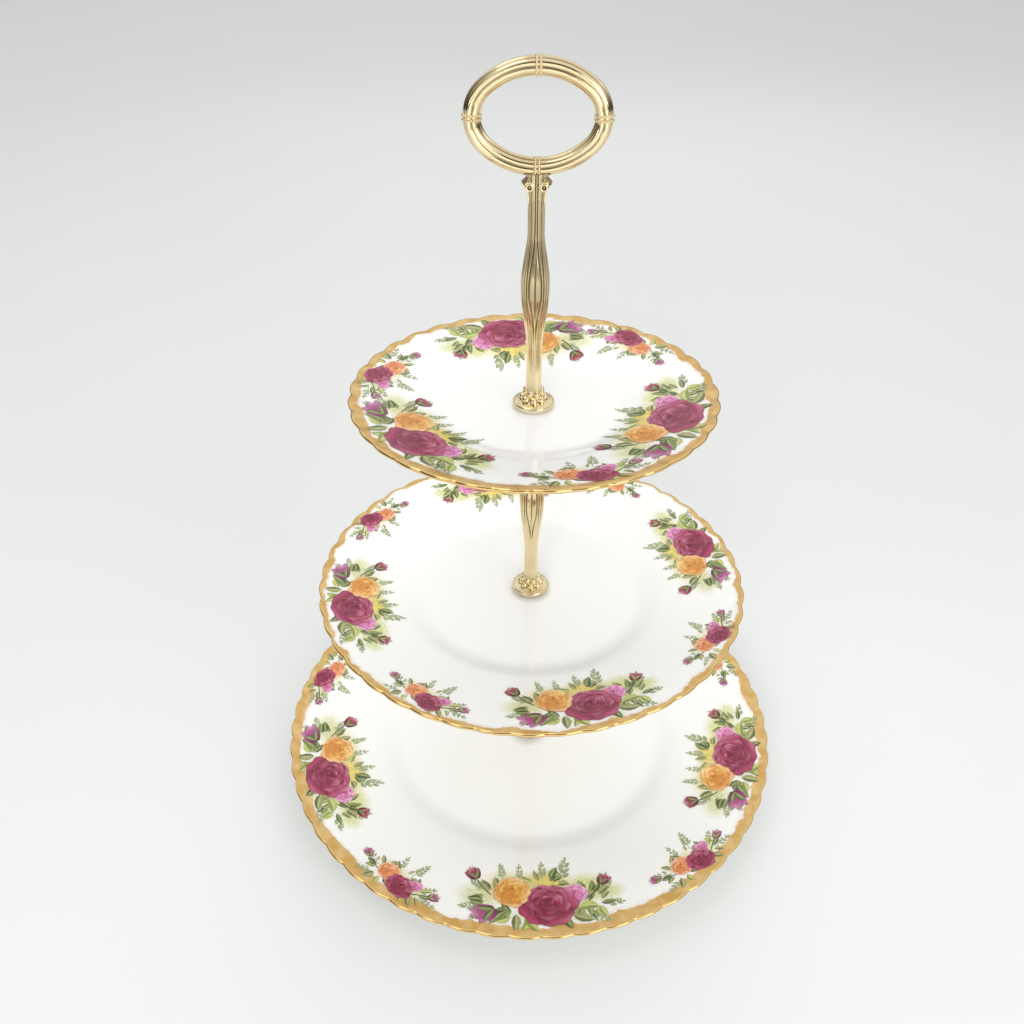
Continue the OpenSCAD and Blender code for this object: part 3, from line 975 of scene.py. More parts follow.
@dataclass
class ChinaPlate:
    """A scalloped plate with its gilding and sprays."""

    name: str
    body: str
    well_r: float
    rise: float
    thickness: float
    foot_h: float
    scallops: int
    band: float
    sprays: int
    large_angle: float
    small_angle: float
    spray_scale: float
    spray_middle: float = 18.0 * MM
    edge_t: float = 1.8 * MM
    shoulder_w: float = 14.0 * MM
    shoulder_h: float = 3.6 * MM
    foot_w: float = 3.0 * MM
    foot_inset: float = 12.0 * MM
    hole_r: float = 4.5 * MM
    cusp: float = 1.0 * MM
    flute: float = 0.55 * MM
    fade: float = 11.0 * MM
    steps_per_scallop: int = 12

    def __post_init__(self) -> None:
        """Takes the rim's radius and the well's height from the frame."""
        low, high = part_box(self.name)
        self.radius = high.x
        self.seat_z = high.z - self.rise
        self.lip_r = self.radius - self.edge_t / 2
        self.slope = (self.rise - self.shoulder_h) / (self.lip_r - self.well_r)

    def surface(self, r: float) -> float:
        """Height of the upper glaze above the well at a radius, before the scallops."""
        u = (r - self.well_r + self.shoulder_w) / self.shoulder_w
        if u <= 0:
            return 0.0
        if u <= 1:
            return self.shoulder_h * ease(u) + self.slope * self.shoulder_w * (u ** 3 - u ** 2)
        return self.shoulder_h + self.slope * (r - self.well_r)

    def _profile(self) -> tuple[Profile, list[float], list[float]]:
        """Section of the plate with each point's gap from the rim and bareness.

        Returns:
            The closed loop of points, the distances from the rim and the unglazed shares.
        """
        floor_r = self.well_r - self.shoulder_w
        upper = [self.hole_r + (floor_r - self.hole_r) * i / 6 for i in range(7)]
        upper += [floor_r + self.shoulder_w * i / 10 for i in range(1, 11)]
        inner_rim = self.lip_r - self.fade
        upper += [self.well_r + (inner_rim - self.well_r) * i / 6 for i in range(1, 7)]
        upper += [inner_rim + self.fade * i / 9 for i in range(1, 9)]
        points = [(r, self.surface(r)) for r in upper]
        gaps = [self.radius - r for r in upper]
        edge = arc_points(self.lip_r, self.rise - self.edge_t / 2, self.edge_t / 2, 90, -90, 8)
        points += edge
        gaps += [0.0 if r > self.lip_r + 0.1 * MM else 0.5 * MM for r, _ in edge]
        under = [r for r in reversed(upper) if r > self.well_r - self.shoulder_w]
        for r in under:
            share = ease((r - self.well_r) / (self.lip_r - self.well_r))
            thick = self.thickness + (self.edge_t - self.thickness) * share
            points.append((r, self.surface(r) - thick))
            gaps.append(1.0 if r < self.lip_r - 1.5 * MM else 1.2 * MM)
        bare = [0.0] * len(points)
        foot_r = self.well_r - self.foot_inset
        base = -self.thickness
        bottom = base - self.foot_h
        # Offset in foot widths, height and unglazed share of each point down one side of the foot.
        side = ((1.1, base, 0), (0.78, base - 0.25 * self.foot_h, 0), (0.55, bottom + 0.5 * MM, 0),
                (0.4, bottom, 1))
        foot = [(foot_r + self.foot_w * off, z, share) for off, z, share in side]
        foot += [(foot_r - self.foot_w * off, z, share) for off, z, share in reversed(side)]
        foot += [(foot_r * 0.6, base, 0), (self.hole_r, base, 0)]
        points += [(r, z) for r, z, _ in foot]
        gaps += [1.0] * len(foot)
        bare += [share for _, _, share in foot]
        return points, gaps, bare

    def _china(self, finishes: Finishes, trees: GeometryTrees) -> bpy.types.Object:
        """Builds the plate itself with its rim pressed into scallops."""
        points, gaps, bare = self._profile()
        steps = self.scallops * self.steps_per_scallop
        loop = [(r, z + self.seat_z) for r, z in points]
        plate = lathe(f"{self.name}_china", loop, steps)
        for label, values in (("rim_gap", gaps), ("bare", bare)):
            mark(plate, label, np.repeat(values, steps))
        material = GiltChina(f"{self.name}_glaze", self.band).build(finishes.effects)
        return apply_tree(plate, trees.scallops, self._rim_inputs(material))

    def _rim_inputs(self, material: bpy.types.Material) -> dict:
        """Inputs of the scallop tree that fit this plate."""
        return {"Scallops": self.scallops, "Rim Radius": self.radius, "Cusp Depth": self.cusp,
                "Flute Depth": self.flute, "Fade Width": self.fade, "Material": material}

    def _painting(self, kind: Spray, finishes: Finishes, trees: GeometryTrees) -> bpy.types.Object:
        """Builds one kind of spray all round the rim, lying on the glaze."""
        art = POSIES[kind].paint(self.spray_scale)
        across = self.radius - self.spray_middle
        points = []
        for s, h, lift in art.points:
            r = self.radius - h * MM
            angle = s * MM / across
            glaze_z = self.seat_z + self.surface(r)
            points.append((r * math.cos(angle), r * math.sin(angle), glaze_z + lift * MM))
        piece = mesh_piece(f"{self.name}_{kind.value}_sprays", points, [f[::-1] for f in art.faces],
                           closed=False)
        mark(piece, "enamel", art.colours, "FLOAT_COLOR", "color")
        first = math.radians(self.large_angle if kind is Spray.LARGE else self.small_angle)
        apply_tree(piece, trees.ring_of_sprays, {"Count": self.sprays, "First Angle": first,
                                                 "Material": finishes.enamel})
        return apply_tree(piece, trees.scallops, self._rim_inputs(finishes.enamel))

    def build(self, finishes: Finishes, trees: GeometryTrees) -> None:
        """Builds the china and both rings of sprays."""
        place(self._china(finishes, trees), self.body, "china", self.name)
        for kind in Spray:
            place(self._painting(kind, finishes, trees), self.body, "china")


# ---- Fittings between the plates ----

@dataclass
class FlatFitting:
    """A pad, washer or bush: a flat ring with softened edges."""

    node: str
    body: str
    slot: str
    material: bpy.types.Material
    round_over: float = 0.22 * MM
    gap: float = 0.02 * MM

    def build(self, inner_r: float) -> None:
        """Builds the ring inside its node's own box, a hair's breadth clear of its neighbours."""
        low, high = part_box(self.node)
        outer, bevel = high.x, self.round_over
        top, bottom = high.z - self.gap, low.z + self.gap
        loop: Profile = []
        for x, z, start, end in ((outer - bevel, top - bevel, 90, 0), (outer - bevel, bottom + bevel, 0, -90),
                                 (inner_r + bevel, bottom + bevel, 270, 180),
                                 (inner_r + bevel, top - bevel, 180, 90)):
            loop += arc_points(x, z, bevel, start, end, 3)
        piece = lathe(f"{self.node}_ring", loop, 72)
        piece.data.materials.append(self.material)
        place(piece, self.body, self.slot, self.node)


@dataclass
class ThreadedRod:
    """A stud or screw with a real thread."""

    node: str
    pitch: float = 0.8 * MM
    root_r: float = 2.08 * MM
    ridge: float = 0.4 * MM
    head_r: float = 0.0
    head_h: float = 0.0
    slot_w: float = 1.2 * MM
    slot_depth: float = 1.2 * MM
    tip: float = 0.6 * MM
    pan: float = 1.1 * MM

    def build(self, finishes: Finishes, trees: GeometryTrees) -> None:
        """Builds the shaft, its thread and any slotted pan head."""
        low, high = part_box(self.node)
        start = low.z + self.head_h
        tip = self.tip
        profile: Profile = [(0, start), (self.root_r - tip / 2, start), (self.root_r, start + tip)]
        if self.head_r:
            r, pan = self.head_r, self.pan
            profile = [(0, low.z)] + arc_points(r - pan, low.z + pan, pan, -90, 0, 5)
            profile += [(r, start - 0.15 * MM), (r - 0.15 * MM, start), (self.root_r, start)]
        profile += [(self.root_r, high.z - tip), (self.root_r - tip / 2, high.z), (0, high.z)]
        shaft = lathe(f"{self.node}_shaft", profile, 48)
        shaft.data.materials.append(finishes.steel)
        length = high.z - start - 2 * tip
        ridge = apply_tree(seed_mesh(f"{self.node}_thread"), trees.thread, {
            "Turns": length / self.pitch, "Root Radius": self.root_r, "Ridge": self.ridge, "Length": length,
            "Start Height": start + tip, "Material": finishes.steel})
        if self.head_r:
            self._cut_slot(shaft, low.z)
        place(shaft, "column", "steel", self.node)
        place(ridge, "column", "steel")

    def _cut_slot(self, shaft: bpy.types.Object, z: float) -> None:
        """Cuts the driver slot across the head."""
        cutter = bpy.data.meshes.new("slot_cutter")
        work = bmesh.new()
        bmesh.ops.create_cube(work, size=1.0, matrix=Matrix.Translation((0, 0, z)) @ Matrix.Diagonal(
            (4 * self.head_r, self.slot_w, 2 * self.slot_depth, 1)))
        work.to_mesh(cutter)
        work.free()
        tool = linked("slot_cutter", cutter)
        cut = shaft.modifiers.new("slot", "BOOLEAN")
        cut.object, cut.operation, cut.solver = tool, "DIFFERENCE", "EXACT"
        settle(shaft)
        bpy.data.objects.remove(tool)


# ---- Castings ----

@dataclass
class GiltStem:
    """A ribbed stem on a beaded flange: the part that both columns and the handle share."""

    node: str
    body: str
    flange_r: float = 9.1 * MM
    flange_t: float = 2.0 * MM
    dome_r: float = 5.0 * MM
    dome_top: float = 11.0 * MM
    waist_r: float = 3.3 * MM
    bulge_r: float = 5.85 * MM
    neck_r: float = 3.3 * MM
    bore_r: float = 2.6 * MM
    bore_h: float = 8.6 * MM
    segments: int = 240
    waist_end: float = 0.2
    bulge_at: float = 0.56
    neck_start: float = 0.83
    swell_power: float = 0.8
    groove: float = 0.13
    # Share of painted shade laid over the shaft from just below the bulge up to the capital.
    tarnish: float = 0.0

    def shaft_r(self, u: float) -> float:
        """Radius of the shaft at share u of its length."""
        narrow, share = self.waist_r, (u - self.waist_end) / (self.bulge_at - self.waist_end)
        if u > self.bulge_at:
            narrow, share = self.neck_r, (self.neck_start - u) / (self.neck_start - self.bulge_at)
        return narrow + (self.bulge_r - narrow) * ease(share) ** self.swell_power

    def sunk(self, u: float, angle: float) -> float:
        """Share by which the pattern is sunk at an angle: a ridge that opens into a pointed panel.

        Args:
            u: Share of the shaft's length.
            angle: Angle about the stem, in radians. The pattern repeats on four faces.

        Returns:
            0 on the polished face and 1 at the bottom of a groove.
        """
        # Degrees from the middle of the nearest face, at most 45.
        offset = abs((math.degrees(angle) + 45) % 90 - 45)
        opening = ease((u - 0.3) / 0.2) * ease((0.86 - u) / 0.3)
        panel = math.exp(-((offset - 7.5 - 19 * opening) / 2.9) ** 2)
        border = math.exp(-((offset - 38) / 2.6) ** 2) * ease((u - 0.34) / 0.12)
        flutes = (0.5 - 0.5 * math.cos(math.radians(offset * 24))) * ease((0.5 - u) / 0.16) * 0.14
        vein = math.exp(-(offset / 2.4) ** 2) * opening * 0.8
        return min(1.0, panel * ease((u - 0.22) / 0.12) + border + flutes + vein)

    def carve(self, radius: float, u: float, angle: float) -> tuple[float, float]:
        """Radius and recess share of the patterned shaft; the share paints shade into the grooves and, by the
        upper shade, over the upper shaft.
        """
        sunk = self.sunk(u, angle)
        # Painted shade over the upper shaft, added to the shade painted into the grooves.
        upper_shade_share = self.tarnish * ease((u - 0.34) / 0.2)
        return radius * (1.01 - self.groove * sunk), upper_shade_share + (1 - upper_shade_share) * sunk

    def dome_shape(self, share: float, radius: float, angle: float) -> tuple[float, float]:
        """Radius and recess share of the dome, whose flutes fade in towards the waist."""
        carved, sunk = self.carve(radius, 0.0, angle)
        fade = ease(share)
        # Painted shade at the foot of the dome, round the beads, fading out towards the waist where the
        # grooves' shade takes over.
        return radius + (carved - radius) * fade, 0.55 * (1 - fade) + sunk * fade

    def foot_profile(self, z0: float) -> Profile:
        """Bore, underside and flange, from the axis out to the foot of the dome."""
        rim, top = self.flange_r, self.flange_t
        bore = [(0, z0 + self.bore_h), (self.bore_r * 0.5, z0 + self.bore_h),
                (self.bore_r, z0 + self.bore_h - MM), (self.bore_r, z0 + 0.4 * MM),
                (self.bore_r + 0.4 * MM, z0)]
        # How far inside the rim each step of the flange lies, and its height.
        steps = ((0.6 * MM, 0.0), (0.15 * MM, 0.15 * MM), (0.0, 0.6 * MM), (0.0, 1.3 * MM),
                 (0.3 * MM, 1.8 * MM), (0.9 * MM, top), (2.4 * MM, top + 0.15 * MM),
                 (3.0 * MM, top + 0.4 * MM))
        return bore + [(rim - inset, z0 + height) for inset, height in steps]

    def dome_profile(self, z0: float, steps: int = 9) -> Profile:
        """Bell-shaped dome from the flange up to the waist."""
        low = self.flange_t + 0.5 * MM
        return [(self.dome_r + (self.waist_r - self.dome_r) * math.sin(math.pi / 2 * i / steps) ** 1.3,
                 z0 + low + (self.dome_top - low) * (1 - math.cos(math.pi / 2 * i / steps)) ** 0.8)
                for i in range(1, steps + 1)]

    def shaft_profile(self, z0: float, neck_top: float, steps: int = 64) -> Profile:
        """Waist, bulge and neck."""
        rise = neck_top - self.dome_top
        return [(self.shaft_r(i / steps), z0 + self.dome_top + rise * i / steps) for i in range(1, steps + 1)]

    def cap_shape(self, row: int, radius: float, angle: float) -> tuple[float, float]:
        """Radius and recess share of a row of the capital."""
        return radius, 0.0

    def casting(self, name: str, z0: float, neck_top: float, cap: Profile, finishes: Finishes,
                ) -> bpy.types.Object:
        """Builds the turned and ribbed casting.

        Args:
            name: Name of the piece.
            z0: Height of its underside.
            neck_top: Height of the top of the neck above the underside.
            cap: Points of the capital, from the neck up to the axis.
            finishes: The stand's materials.

        Returns:
            The patterned piece.
        """
        foot, dome, shaft = self.foot_profile(z0), self.dome_profile(z0), self.shaft_profile(z0, neck_top)
        dome_at = len(foot) - 1
        shaft_at = dome_at + len(dome)
        cap_at = shaft_at + len(shaft)

        def shape(row: int, radius: float, angle: float) -> tuple[float, float]:
            """Flutes on the dome, the pattern on the shaft and the capital's own shape above."""
            if row >= cap_at:
                return self.cap_shape(row - cap_at, radius, angle)
            if row >= shaft_at:
                return self.carve(radius, (row - shaft_at) / len(shaft), angle)
            if row >= dome_at:
                return self.dome_shape((row - dome_at) / len(dome), radius, angle)
            return radius, 0.0

        piece = lathe(name, foot + dome + shaft + cap, self.segments, shape)
        piece.data.materials.append(finishes.gilt)
        return piece

    def beads(self, z0: float, finishes: Finishes, trees: GeometryTrees) -> bpy.types.Object:
        """Two rings of rounded leaves that crown the flange."""
        rings = []
        for number, (ring_r, bead_r, height, long) in enumerate((
                (4.6 * MM, 1.95 * MM, 3.3 * MM, 1.0), (3.75 * MM, 1.35 * MM, 5.5 * MM, 1.6))):
            rings.append(apply_tree(seed_mesh(f"bead_ring_{number}"), trees.bead_ring, {
                "Beads": 8, "Ring Radius": ring_r, "Bead Radius": bead_r, "Height": z0 + height,
                "Bead Length": long, "Turn": math.pi / 8 * (number % 2), "Material": finishes.gilt}))
        return joined(f"{self.node}_beads", rings)


@dataclass
class Column(GiltStem):
    """A column: a stem under a leafy capital and a collar."""

    capital_h: float = 11.0 * MM
    capital_r: float = 6.25 * MM
    collar_r: float = 7.0 * MM
    collar_t: float = 2.2 * MM
    leaf_row: int = 3
    leaf_rows: int = 8

    def cap_shape(self, row: int, radius: float, angle: float) -> tuple[float, float]:
        """Leaves on the capital, under a plain collar."""
        if not self.leaf_row <= row <= self.leaf_row + self.leaf_rows:
            return radius, 0.0
        u = (row - self.leaf_row) / self.leaf_rows
        cleft = 1 - abs(math.cos(4 * angle)) ** 0.7
        # Painted shade in the clefts between the leaves.
        return radius * (1 - 0.16 * ease(u * 1.5) * cleft), cleft ** 3

    def _cap(self, low: float, top: float) -> Profile:
        """Fillet, leafy bell and collar, and down the tapped hole to the axis."""
        collar_z = top - self.collar_t
        neck, bell, collar, bore = self.neck_r, self.capital_r, self.collar_r, self.bore_r
        cap = [(neck + 0.9 * MM, low + 0.4 * MM), (neck + 1.1 * MM, low + 1.0 * MM),
               (neck + 0.6 * MM, low + 1.6 * MM)]
        for i in range(self.leaf_rows + 1):
            u = i / self.leaf_rows
            cap.append((neck + 0.4 * MM + (bell - neck - 0.4 * MM) * u ** 1.8,
                        low + 2.0 * MM + (collar_z - low - 3.4 * MM) * u))
        return cap + [(bell - 0.8 * MM, collar_z - 0.9 * MM), (bell - 0.4 * MM, collar_z - 0.3 * MM),
                      (collar - 0.4 * MM, collar_z), (collar, collar_z + 0.5 * MM), (collar, top - 0.5 * MM),
                      (collar - 0.4 * MM, top), (bore + 0.3 * MM, top), (bore, top - 0.3 * MM),
                      (bore, top - self.bore_h), (bore * 0.5, top - self.bore_h - MM),
                      (0, top - self.bore_h - MM)]

    def build(self, finishes: Finishes, trees: GeometryTrees) -> None:
        """Builds the casting with its beads."""
        low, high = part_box(self.node)
        neck_top = high.z - low.z - self.capital_h
        cap = self._cap(low.z + neck_top, high.z)
        piece = self.casting(f"{self.node}_casting", low.z, neck_top, cap, finishes)
        place(piece, self.body, "gilt", self.node)
        place(self.beads(low.z, finishes, trees), self.body, "gilt")


@dataclass
class RingHandle(GiltStem):
    """The handle: a stem whose capital opens into two scrolls under an oval reeded ring."""

    # Painted shade over the handle stem's bulge, neck and capital.
    tarnish: float = 0.55
    stem_h: float = 96.7 * MM
    ring_w: float = 54.6 * MM
    ring_h: float = 40.7 * MM
    bar_r: float = 3.25 * MM
    end_r: float = 13.0 * MM
    reeds: int = 6
    capital_h: float = 9.0 * MM
    overlap: float = 1.2 * MM
    cap_rows: int = 30
    fan_power: float = 2.4
    eye_x: float = 2.75 * MM
    eye_drop: float = 3.7 * MM
    eye_r: float = 1.75 * MM
    eye_half: float = 3.7 * MM
    thread_r: float = 0.42 * MM
    tie_gap: float = 1.5 * MM
    outline: tuple[tuple[float, float], ...] = (
        (0.0, 3.3), (0.22, 3.45), (0.42, 4.1), (0.58, 5.3), (0.66, 5.9), (0.72, 5.6), (0.79, 4.5),
        (0.88, 4.1), (1.0, 4.3))

    def half_width(self, u: float) -> float:
        """Half width of the capital at share u of its height, up to the tips and in again."""
        return float(np.interp(u, [p[0] for p in self.outline], [p[1] for p in self.outline])) * MM

    def cap_shape(self, row: int, radius: float, angle: float) -> tuple[float, float]:
        """Fan-shaped capital, wide across the ring and as thin as the neck."""
        half = self.half_width((row + 1) / self.cap_rows)
        c, s = abs(math.cos(angle)) / half, abs(math.sin(angle)) / self.neck_r
        # The capital takes the full painted upper shade as well as the grooves' shade.
        return self.carve((c ** self.fan_power + s ** self.fan_power) ** (-1 / self.fan_power), 1.0, angle)

    def _stem(self, finishes: Finishes) -> bpy.types.Object:
        """The stem, flaring sideways into the underside of the ring."""
        neck_top, rows = self.stem_h - self.capital_h, self.cap_rows
        cap = [(self.neck_r, self.z0 + neck_top + (self.capital_h + self.overlap) * i / rows)
               for i in range(1, rows + 1)]
        return self.casting("handle_stem", self.z0, neck_top, cap + [(0, cap[-1][1])], finishes)

    def _halves(self) -> tuple[float, float]:
        """Half width and half height of the ring's centre line."""
        return self.ring_w / 2 - self.bar_r, self.ring_h / 2 - self.bar_r

    def _path(self, steps: int = 28) -> list[tuple[float, float, float]]:
        """Centre line of the ring: two end arcs and two long arcs that meet smoothly."""
        half_w, half_h = self._halves()
        end_x = half_w - self.end_r
        long_r = (end_x ** 2 + half_h ** 2 - self.end_r ** 2) / (2 * (half_h - self.end_r))
        long_z = long_r - half_h
        meet = math.degrees(math.atan2(long_z, end_x))
        outline = []
        for cx, cz, r, a0, a1 in ((end_x, 0, self.end_r, -meet, meet), (0, -long_z, long_r, meet, 180 - meet),
                                  (-end_x, 0, self.end_r, 180 - meet, 180 + meet),
                                  (0, long_z, long_r, 180 + meet, 360 - meet)):
            outline += arc_points(cx, cz, r, a0, a1, steps)[:-1]
        return [(x, 0.0, z + self.ring_z) for x, z in outline]

    def _ring(self, finishes: Finishes, trees: GeometryTrees) -> bpy.types.Object:
        """The reeded bar bent into the oval."""
        path = self._path()
        mesh = bpy.data.meshes.new("handle_ring")
        mesh.from_pydata(path, [(i, (i + 1) % len(path)) for i in range(len(path))], [])
        return apply_tree(linked("handle_ring", mesh), trees.reeded_bar, {
            "Reeds": self.reeds, "Bar Radius": self.bar_r * 1.03, "Groove": 0.2, "Twist": math.pi / 6,
            "Material": finishes.gilt})

    def _ties(self, finishes: Finishes, trees: GeometryTrees) -> bpy.types.Object:
        """Four ties round the bar, each a pair of fine beaded bands."""
        half_w, half_h = self._halves()
        spots = ((half_w, 0.0, 0.0), (0.0, half_h, 90.0), (-half_w, 0.0, 0.0), (0.0, -half_h, 90.0))
        bands = []
        for number, (x, z, lean) in enumerate(spots):
            for side in (-self.tie_gap / 2, self.tie_gap / 2):
                band = apply_tree(seed_mesh(f"tie_{number}"), trees.bead_ring, {
                    "Beads": 20, "Ring Radius": self.bar_r * 0.93, "Bead Radius": 0.75 * MM, "Height": side,
                    "Bead Length": 0.8, "Material": finishes.gilt})
                band.data.transform(Matrix.Translation((x, 0, z + self.ring_z))
                                    @ Matrix.Rotation(math.radians(lean), 4, "Y"))
                bands.append(band)
        return joined("handle_ties", bands)

    def _curl(self, eye_z: float) -> list[tuple[float, float, float]]:
        """Centre line of the thread over one scroll eye and down the capital's flank."""
        top, rise = self.z0 + self.stem_h + self.overlap, self.capital_h + self.overlap
        reach = self.eye_r + 0.15 * MM
        curl = [(self.eye_x + reach * math.cos(a), eye_z + reach * math.sin(a))
                for a in np.radians(np.linspace(190, 20, 10))]
        flank = [(self.half_width(u) * 0.93, top - rise * (1 - u)) for u in np.linspace(0.62, 0.0, 9)]
        flank += [(3.0 * MM, self.z0 + self.stem_h - self.capital_h - 3 * MM)]
        line = []
        for number, (x, z) in enumerate(curl + flank):
            half = self.half_width(1 - (top - z) / rise)
            share = min(x / max(half, x), 0.97)
            y = self.neck_r * (1 - share ** self.fan_power) ** (1 / self.fan_power)
            if number < len(curl):
                y = max(y, self.eye_half - 0.55 * MM)
            line.append((x, y, z))
        return line

    def _scrolls(self, finishes: Finishes) -> bpy.types.Object:
        """Two dimpled scroll eyes and the threads that curl round them, alike at the front and the back."""
        r, deep = self.eye_r, self.eye_half
        half = [(0, deep - 0.9 * MM), (0.4 * MM, deep - 0.8 * MM), (0.75 * MM, deep - 0.35 * MM),
                (0.95 * MM, deep - 0.05 * MM), (1.25 * MM, deep), (r - 0.15 * MM, deep - 0.25 * MM),
                (r, deep - 0.8 * MM)]
        profile = half + [(x, -y) for x, y in reversed(half)]
        dimple_rows, rows = 2, len(profile) - 2

        def shape(row: int, radius: float, angle: float) -> tuple[float, float]:
            """Painted shade in the dimples at both ends."""
            return radius, 1.0 if row < dimple_rows or row >= rows - dimple_rows else 0.0

        eye_z = self.z0 + self.stem_h - self.eye_drop
        pieces = []
        for side in (-1, 1):
            eye = lathe("scroll_eye", profile, 32, shape)
            eye.data.transform(Matrix.Translation((side * self.eye_x, 0, eye_z))
                               @ Matrix.Rotation(math.pi / 2, 4, "X"))
            pieces.append(eye)
            for face in (-1, 1):
                path = [Vector((side * x, face * y, z)) for x, y, z in self._curl(eye_z)]
                pieces.append(tube("scroll_thread", path, self.thread_r))
        for piece in pieces:
            piece.data.materials.append(finishes.gilt)
        return joined("handle_scrolls", pieces)

    def build(self, finishes: Finishes, trees: GeometryTrees) -> None:
        """Builds the stem, beads, scrolls, ring and ties."""
        low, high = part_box(self.node)
        self.z0 = low.z
        self.ring_z = high.z - self.ring_h / 2
        place(self._stem(finishes), self.body, "gilt", self.node)
        place(self.beads(self.z0, finishes, trees), self.body, "gilt")
        place(self._scrolls(finishes), self.body, "gilt")
        place(self._ring(finishes, trees), self.body, "gilt")
        place(self._ties(finishes, trees), self.body, "gilt")


# ---- Studio ----

@dataclass(frozen=True)
class Softbox:
    """A rectangular soft light."""

    name: str
    place: tuple[float, float, float]
    aim: tuple[float, float, float]
    size: float
    power: float
    mirrored: bool = True
    colour: Colour = (1.0, 1.0, 1.0)

    def build(self) -> None:
        """Adds the light, which shows in polished surfaces only if it is mirrored."""
        light = bpy.data.lights.new(self.name, "AREA")
        light.shape, light.size, light.energy, light.color = "SQUARE", self.size, self.power, self.colour
        lamp = linked(self.name, light)
        lamp.visible_glossy = self.mirrored
        lamp.location = self.place
        lamp.rotation_euler = (Vector(self.aim) - Vector(self.place)).to_track_quat("-Z", "Y").to_euler()


@dataclass
class Studio:
    """Plain pale floor, soft lights and the camera."""

    camera_at: tuple[float, float, float] = (0.0, -0.343, 0.410)
    pitch: float = 35.85
    yaw: float = 1.57
    lens: float = 31.1
    floor_size: float = 14.0
    room_light: float = 0.88
    strip_light: Colour = (3.2, 3.15, 3.1)
    dark_sides: tuple[tuple[float, float, float], ...] = ((0.15, -0.87, 0.47), (-0.9, -0.1, 0.42))

    def build(self) -> None:
        """Sets the whole scene round the stand."""
        self._camera()
        self._floor()
        self._world()
        for box in (Softbox("key_softbox", (-0.5, -0.1, 1.6), (0, 0, 0.15), 0.55, 1.8),
                    Softbox("fill_softbox", (0.9, -1.1, 0.8), (0, 0, 0.1), 0.7, 3.6),
                    Softbox("front_softbox", (-0.2, -1.7, 0.68), (0, -0.05, 0.0), 0.9, 20.0, mirrored=False),
                    Softbox("glint_softbox", (0.5, -1.2, 0.35), (0, 0, 0.1), 0.25, 0.6),
                    Softbox("far_softbox", (-0.4, 3.2, 2.4), (-0.4, 3.0, 0), 2.4, 9.0, mirrored=False),
                    Softbox("back_softbox", (0.2, 1.3, 1.3), (0, 0.4, 0.1), 1.2, 4.0, mirrored=False)):
            box.build()

    def _camera(self) -> None:
        """Camera above and in front, looking down on the plates."""
        data = bpy.data.cameras.new("camera")
        data.sensor_width, data.lens = 36.0, self.lens
        data.clip_start = 0.01
        camera = linked("camera", data)
        turn = (Matrix.Rotation(math.radians(self.yaw), 4, "Z")
                @ Matrix.Rotation(math.radians(90 - self.pitch), 4, "X"))
        camera.matrix_world = Matrix.Translation(self.camera_at) @ turn
        bpy.context.scene.camera = camera

    def _floor(self) -> None:
        """Matt pale floor."""
        half = self.floor_size / 2
        corners = [(-half, -half, 0), (half, -half, 0), (half, half, 0), (-half, half, 0)]
        floor = mesh_piece("floor", corners, [(0, 1, 2, 3)], closed=False)
        tree, shader = start_material("floor_paper")
        cloud = tree.noise(tree.here(), 3.0, 2.0)
        tree.feed(shader, {"Base Color": tree.blend(cloud, srgb("#e7e9e8"), srgb("#e3e5e4")),
                           "Roughness": 0.7})
        floor.data.materials.append(bpy.data.materials["floor_paper"])

    def _world(self) -> None:
        """Pale room for polished metal to mirror: darker low down, with a bright low strip in front."""
        world = bpy.data.worlds.new("room")
        bpy.context.scene.world = world
        world.use_nodes = True
        tree = Tree(world.node_tree)
        background = world.node_tree.nodes["Background"]
        direction = tree.add("ShaderNodeTexCoord").outputs["Generated"]
        _, depth, height = tree.parts(direction)
        share = tree.ramp(height, 0.02, 0.5)
        for side in self.dark_sides:
            toward = tree.add("ShaderNodeVectorMath", {0: direction, 1: side}, operation="DOT_PRODUCT")
            share = tree.times(share, tree.ramp(toward.outputs["Value"], 0.82, 0.97, 1.0, 0.1))
        mirrored = tree.blend(share, srgb("#4c453e"), srgb("#ffffff"))
        strip = tree.times(tree.ramp(height, 0.02, 0.05), tree.ramp(height, 0.12, 0.16, 1.0, 0.0))
        strip = tree.times(strip, tree.ramp(depth, -0.75, -0.45, 1.0, 0.0))
        glinting = tree.blend(strip, mirrored, self.strip_light)
        seen = tree.add("ShaderNodeLightPath").outputs["Is Camera Ray"]
        tree.feed(background, {"Color": tree.blend(seen, glinting, srgb("#dcdedd")),
                               "Strength": self.room_light})
        bpy.context.scene.view_settings.view_transform = "Standard"


# ---- The stand ----

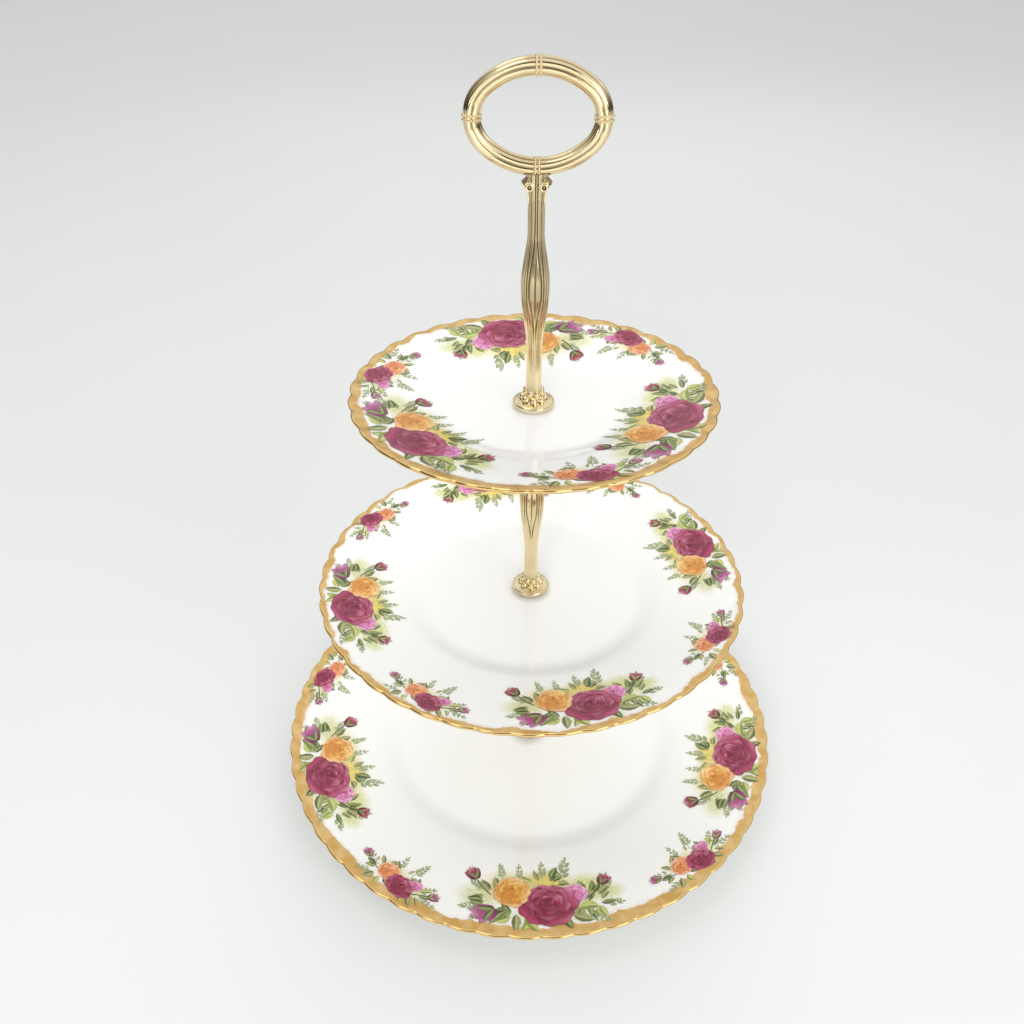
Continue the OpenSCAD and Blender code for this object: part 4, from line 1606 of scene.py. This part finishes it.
class CakeStand:
    """The whole stand, tier by tier."""

    def __init__(self) -> None:
        """Prepares the finishes, the trees and each sub-assembly's sizes."""
        self.finishes = Finishes()
        self.trees = GeometryTrees()
        self.plates = (
            ChinaPlate("bottom_plate", "base", well_r=85 * MM, rise=12.8 * MM, thickness=3.6 * MM,
                       foot_h=6 * MM, scallops=56, band=6.2 * MM, sprays=5, large_angle=-87,
                       small_angle=-48.5, spray_scale=1.0),
            ChinaPlate("middle_plate", "middle_tier", well_r=66.5 * MM, rise=11 * MM, thickness=3.5 * MM,
                       foot_h=2.6 * MM, scallops=44, band=3.2 * MM, sprays=4, large_angle=-75,
                       small_angle=-28, spray_scale=0.87),
            ChinaPlate("top_plate", "top_tier", well_r=51 * MM, rise=9 * MM, thickness=3.2 * MM,
                       foot_h=2.4 * MM, scallops=34, band=5.0 * MM, sprays=3, large_angle=-142,
                       small_angle=-73, spray_scale=1.0))
        self.castings = (Column("lower_column", "column"), Column("middle_column", "column"),
                         RingHandle("handle", "handle"))
        self.rods = (ThreadedRod("lower_stud"), ThreadedRod("middle_stud"),
                     ThreadedRod("base_screw", head_r=5 * MM, head_h=2.6 * MM))

    def fittings(self) -> list[tuple[FlatFitting, float]]:
        """Every pad, washer and bush with the radius of its hole."""
        clear, snug = 2.9 * MM, 2.58 * MM
        pad, nylon, sheet = self.finishes.pad, self.finishes.nylon, self.finishes.gilt_sheet
        found = []
        for tier, body, upper_body, washer in (("bottom", "base", "base", "base_washer"),
                                               ("middle", "middle_tier", "middle_tier", "middle_washer"),
                                               ("top", "top_tier", "handle_pad", "top_washer")):
            found += [(FlatFitting(f"{tier}_lower_pad", body, "soft_pad", pad), clear),
                      (FlatFitting(f"{tier}_upper_pad", upper_body, "soft_pad", pad), clear),
                      (FlatFitting(f"{tier}_bush", body, "nylon", nylon), snug),
                      (FlatFitting(washer, "column", "gilt_sheet", sheet), clear)]
        return found

    def build(self) -> None:
        """Builds every piece."""
        for plate in self.plates:
            plate.build(self.finishes, self.trees)
        for casting in self.castings:
            casting.build(self.finishes, self.trees)
        for rod in self.rods:
            rod.build(self.finishes, self.trees)
        for fitting, inner_r in self.fittings():
            fitting.build(inner_r)


def main() -> None:
    """Builds the studio and the stand."""
    logging.basicConfig(level=logging.INFO, format="%(name)s: %(message)s")
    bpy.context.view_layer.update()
    Studio().build()
    CakeStand().build()
    bpy.context.view_layer.update()


if __name__ == "__main__":
    main()
